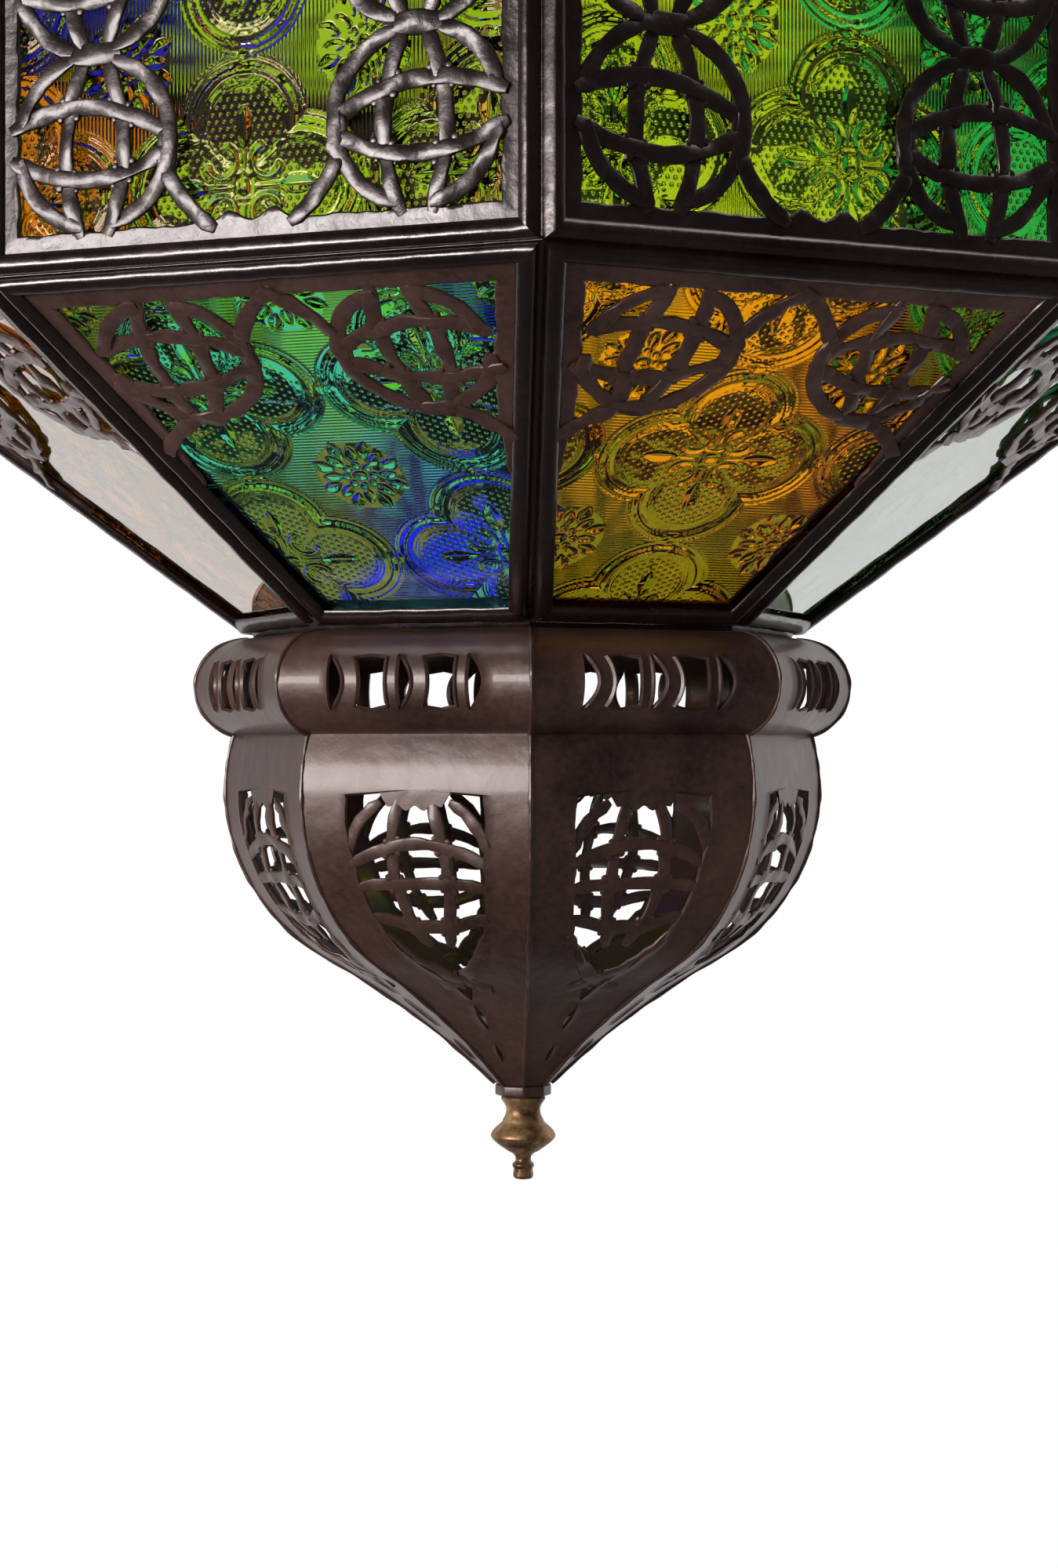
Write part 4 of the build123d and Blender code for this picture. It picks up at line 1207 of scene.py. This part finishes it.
fine_grid = 0.0005
plain_grid = 0.0009
roof_grid = 0.0012
quarter = math.pi / 2
upright_tints = ("teal", "yellow", "lime", "amber", "green", "pale_amethyst", "pale_lime", "blue")
lower_tints = ("amethyst", "green", "streaked_blue", "yellow", "amber", "pale_teal", "pale_amber", "green")
roof_tints = ("teal", "yellow", "lime", "blue", "amethyst", "amber", "green", "yellow")
upright_blooms = {6: (-0.0036, 0.0195), 7: (0.0087, 0.0262)}
lower_blooms = {6: (-0.0318, 0.0249), 7: (-0.0015, 0.0642)}
for number in range(1, 9):
    stray = ((number * 0.0237) % pattern_pitch, (number * 0.0411) % pattern_pitch)
    grid = fine_grid if number in (6, 7) else plain_grid
    for kind, panel, tints, blooms, turn, step in (
        ("upright", upright_side, upright_tints, upright_blooms, quarter, grid),
        ("lower", lower_side, lower_tints, lower_blooms, 0, grid),
        ("roof", roof_side, roof_tints, {}, 0, roof_grid),
    ):
        if (kind, number) != ("upright", 3):
            node, bloom = f"{kind}_pane_{number}", blooms.get(number, stray)
            pane(f"pane_{kind}_{number}", panel, node, number, tints[number - 1], bloom, turn, step)

# Door
# One upright side opens for the lamp: a soldered frame with its own pane and pierced sheet,
# hung on a pinned strap hinge. A brass pull draws it, and a turn button on a rivet holds it shut.

softened("door_came", "door_frame", came_iron, 0.00045, body="door")
door_sheet = upright_side.read("door_filigree", door_side)
door_half, door_low, door_high = door_sheet[:, 0].max(), door_sheet[:, 1].min(), door_sheet[:, 1].max()
pierced(
    "pierced_door", upright_side, upright_sheet(door_half, door_low, door_high, border_width), 1, door_side,
    "door", "door_filigree", shaded_upright_iron,
)
door_bloom = (0.004, 0.022)
pane("pane_door", upright_side, "door_pane", 3, "streaked_lime", door_bloom, quarter, plain_grid, "door")
softened("hinge_leaves_door", "hinge_door_leaves", dark_iron, 0.0003, body="door")
softened("hinge_leaf_post", "hinge_post_leaf", dark_iron, 0.0003)
softened("hinge_wire", "hinge_pin", steel, 0.0002, slot="plain_steel")

brass_stops = ((0.36, (0.075, 0.038, 0.022)), (0.54, (0.29, 0.165, 0.075)), (0.74, (0.6, 0.41, 0.2)))
aged_brass = mottled("aged_brass", (150, 5, 0.65), brass_stops, 0.3, 0.25, 0.75)
softened("pull", "door_pull", aged_brass, 0.0005, body="door", slot="aged_brass")
softened("button", "turn_button", dark_iron, 0.0004, body="latch")
softened("rivet", "button_rivet", aged_brass, 0.0004, slot="aged_brass")

# Pendant
# An onion of eight gores hangs under the lower collar, each pierced by chisel with a woven globe
# over a crossing foot and two slits. The gores are soldered at the seams, and turn in to a stem.

pendant_edge_height = -0.520686
window_top = 0.0165
window_foot = 0.0775
window_margin = 0.0135
pendant_places, pendant_ways = gore_curve(60, 44)
pendant_halves = pendant_places[:, 0] * octagon_share
pendant_depths = pendant_places[:, 1]
window_half = np.clip(pendant_halves - window_margin, 0, None)
foot_taper = np.clip((window_foot - pendant_depths) / 0.016, 0, 1) ** 0.6
window_half = np.where(pendant_depths > window_top, window_half * foot_taper, 0)
window_half += np.where(window_half > 0, ragged(pendant_depths, 4), 0)
slit = 0.0011 * np.clip(1 - ((pendant_depths - 0.083) / 0.0042) ** 2, 0, None)
slit += 0.0007 * np.clip(1 - ((pendant_depths - 0.095) / 0.003) ** 2, 0, None)
middle_opening = (np.zeros(len(pendant_halves)), np.clip(window_half, 0, None) + slit)
pendant_rows, pendant_faces = slit_sheet(pendant_halves, [middle_opening], 8)
pendant_points = []
for row, across, edge in pendant_rows:
    apothem, depth = pendant_places[int(row)]
    out, down = pendant_ways[int(row)] * 0.0005 * edge
    pendant_points.append((apothem + out, across, pendant_edge_height - depth - down))
pendant = bent_sheet("pendant_onion", pendant_points, pendant_faces, gore_sheet, dark_iron)

gore_strap = 0.0036


def window_edge(depth):
    return float(np.interp(depth, pendant_depths, pendant_halves)) - window_margin + 0.001


gore_paths = []
for depth, sag in ((0.037, 0.0062), (0.0432, 0.0012), (0.0515, -0.0032)):
    gore_paths.append(bow((-window_edge(depth), -depth), (window_edge(depth), -depth), sag, -1))
for side in (-1, 1):
    gore_paths.append(bow((side * 0.0046, -0.0185), (side * 0.003, -0.0605), side * 0.0042, 1))
    gore_paths.append(bow((side * 0.0105, -0.019), (side * window_edge(0.0335), -0.0335), side * 0.002, 1))
    foot_start = (side * window_edge(0.0565), -0.0565)
    gore_paths.append(bow(foot_start, (-side * 0.0085, -0.0735), side * 0.0034, side))
flat_points, flat_faces = joined(strap_mesh(gore_paths, gore_strap), burr_mesh(gore_paths, gore_strap))
tab_points, tab_columns, tab_rows = [], 19, 5
for height in (0.00034, -0.0004):
    for row in range(tab_rows):
        share = row / (tab_rows - 1)
        for across in np.linspace(-1, 1, tab_columns):
            fall = 0.0052 - 0.0008 * math.cos(across * 9.5) - 0.0012 * across**2
            tab_points.append((across * (0.0112 - 0.003 * share), -0.0155 - fall * share, height))
tab_layer = tab_columns * tab_rows
tab_faces = []
for a, b, c, d in grid_faces(tab_rows, tab_columns):
    tab_faces += [(a, d, c, b), (tab_layer + b, tab_layer + c, tab_layer + d, tab_layer + a)]
tab_rim = grid_rim(tab_rows, tab_columns)
for first, second in zip(tab_rim, tab_rim[1:] + tab_rim[:1]):
    tab_faces.append((first, second, tab_layer + second, tab_layer + first))
flat_points, flat_faces = joined((flat_points, flat_faces), (np.array(tab_points), tab_faces))
wrapped = []
for across, up, height in flat_points:
    depth = min(max(-up, 0), pendant_depths[-1])
    apothem, out, down = (
        float(np.interp(depth, pendant_depths, values))
        for values in (pendant_places[:, 0], *pendant_ways.T)
    )
    lift = height - 0.0003
    wrapped.append((apothem + out * lift, across, pendant_edge_height - depth - down * lift))
pendant_line = np.stack((pendant_places[:, 0], pendant_edge_height - pendant_depths), 1)
pendant_seam = seam(pendant_line[::-1], (pendant_ways * (1, -1))[::-1])
pendant = with_more(pendant, (wrapped, flat_faces), pendant_seam)
all_round(pendant, dark_iron)
built_in(pendant, "lantern", "dark_metal", "pendant_gores")

# Cup, clamp plate and finial
# A folded cup under the gores' tips is drawn up by a stud in a tapped plate inside them.
# The finial is turned from brass and left to tarnish: a waisted neck, a sharp-edged bead, a button.

softened("cup", "pendant_cup", dark_iron, 0.0006)
softened("pendant_plate", "pendant_clamp", steel, 0.0004, slot="plain_steel")
softened("stud", "finial_stud", steel, 0.0003, slot="plain_steel")
finial_low, finial_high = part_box("finial")
finial_shape = (
    (0.0, 0.0), (0.0066, 0.0), (0.0069, 0.0006), (0.0066, 0.0014), (0.0055, 0.0026),
    (0.0051, 0.0042), (0.0053, 0.0058), (0.0062, 0.0072), (0.0064, 0.008), (0.0068, 0.0084),
    (0.0086, 0.0098), (0.0098, 0.0114), (0.01, 0.0123), (0.0095, 0.0132), (0.0078, 0.0148),
    (0.0056, 0.0162), (0.0046, 0.017), (0.0034, 0.0174), (0.0024, 0.0184), (0.0023, 0.0196),
    (0.0025, 0.0202), (0.0034, 0.0208), (0.0034, 0.0216), (0.0028, 0.022), (0.003, 0.0232),
    (0.0032, 0.0246), (0.0027, 0.0254), (0.0, 0.0256),
)
finial_profile = [(radius, finial_high.z - drop) for radius, drop in finial_shape]
finial_knob = turned_piece("finial_knob", finial_profile, 64, aged_brass)
smooth = finial_knob.modifiers.new("turning", "SUBSURF")
smooth.levels = 1
smooth.render_levels = 1
built_in(finial_knob, "lantern", "aged_brass", "finial")

# Studio
# A pale floor far below the hanging lantern, a white surround behind it, and soft light from a
# large lamp at the left and a weaker one at the right.

floor_height = -1.5
floor_radius = 6.0
floor_sides = 96
floor_points = [(0, 0, floor_height)]
for turn in np.linspace(0, 2 * math.pi, floor_sides, endpoint=False):
    floor_points.append((floor_radius * math.cos(turn), floor_radius * math.sin(turn), floor_height))
floor_faces = [(0, 1 + i, 1 + (i + 1) % floor_sides) for i in range(floor_sides)]
pale, pale_shader, pale_place = new_finish("pale_floor")
fixed(pale_shader, {"Base Color": (0.62, 0.62, 0.62, 1), "Roughness": 0.8})
pale_out = pale.node_tree.nodes["Material Output"]


def ray_kinds(wire):
    """Wires that tell camera, glossy and transmission rays."""
    kinds = ("Is Camera Ray", "Is Glossy Ray", "Is Transmission Ray")
    return [wire.node("ShaderNodeLightPath", {}, {}, kind) for kind in kinds]


distance = pale_place.node("ShaderNodeVectorMath", {"operation": "LENGTH"}, {0: pale_place}, 1)
seen, mirrored, through = ray_kinds(pale_place)
white_far = distance.eased(1.7, 2.6) * seen.math("MAXIMUM", seen, through)
white = pale_place.node("ShaderNodeEmission", {}, {"Color": (1, 1, 1, 1), "Strength": 1})
pale_wire = Wire(pale.node_tree, pale_shader.outputs[0])
blended = pale_place.node("ShaderNodeMixShader", {}, {0: white_far, 1: pale_wire, 2: white})
backward = pale_place.node("ShaderNodeSeparateXYZ", {}, {"Vector": pale_place}, 1)
# Painted reflection: mirror rays see the floor as a glow in place of its own shading, dark (0.08) in front
# of the lantern and white behind it, standing in for a dark studio in front.
painted_reflection_share = backward.eased(0.3, 2.0, 0.08)
painted_floor_reflection = pale_place.node("ShaderNodeEmission", {}, {"Color": painted_reflection_share, "Strength": 1})
mixed = pale_place.node("ShaderNodeMixShader", {}, {0: mirrored, 1: blended, 2: painted_floor_reflection})
mixed.into(pale_out, "Surface")
floor = new_piece("floor", floor_points, floor_faces, pale)

world = bpy.data.worlds.new("studio")
world.use_nodes = True
bpy.context.scene.world = world
sky = world.node_tree
sky_light = sky.nodes["Background"]
look = Wire(sky, sky.nodes.new("ShaderNodeTexCoord").outputs["Generated"])
side_way, depth_way = (look.node("ShaderNodeSeparateXYZ", {}, {"Vector": look}, axis) for axis in (0, 1))
behind = depth_way.eased(-0.25, 0.6, 0.03)
seen, mirrored, through = ray_kinds(look)
white_ray = seen + through * depth_way.eased(-0.6, 0.0, 0.6)
other_ray = 1 - look.math("MAXIMUM", seen, through)
dull = 0.8 * (1 - mirrored) + behind * (0.82 + 0.32 * side_way) * mirrored
strength = white_ray + other_ray * dull
sky_light.inputs["Color"].default_value = (1, 1, 1, 1)
strength.into(sky_light, "Strength")


def soft_lamp(name, place, aim, width, height, power):
    lamp = bpy.data.lights.new(name, "AREA")
    lamp.shape = "RECTANGLE"
    lamp.size = width
    lamp.size_y = height
    lamp.energy = power
    holder = bpy.data.objects.new(name, lamp)
    holder.location = place
    way = np.array(aim) - np.array(place)
    yaw = math.atan2(way[1], way[0]) - math.pi / 2
    pitch = math.atan2(way[2], math.hypot(way[0], way[1])) + math.pi / 2
    holder.rotation_euler = (pitch, 0, yaw)
    bpy.context.scene.collection.objects.link(holder)


lantern_middle = (0, 0, -0.42)
soft_lamp("left_lamp", (-1.13, -0.98, -0.36), lantern_middle, 0.6, 0.34, 20)
soft_lamp("right_lamp", (0.9, -0.4, 0.9), lantern_middle, 0.6, 0.6, 4)

camera_data = bpy.data.cameras.new("photograph")
camera_data.lens = 64.9
camera_data.sensor_width = 36
camera_data.shift_x = 0.0037
camera_data.shift_y = -0.0232
camera = bpy.data.objects.new("photograph", camera_data)
camera.location = (-0.0195, -0.8632, -0.5245)
camera.rotation_euler = (math.pi / 2, 0, math.radians(-1.294))
bpy.context.scene.collection.objects.link(camera)
bpy.context.scene.camera = camera
bpy.context.scene.view_settings.view_transform = "Standard"
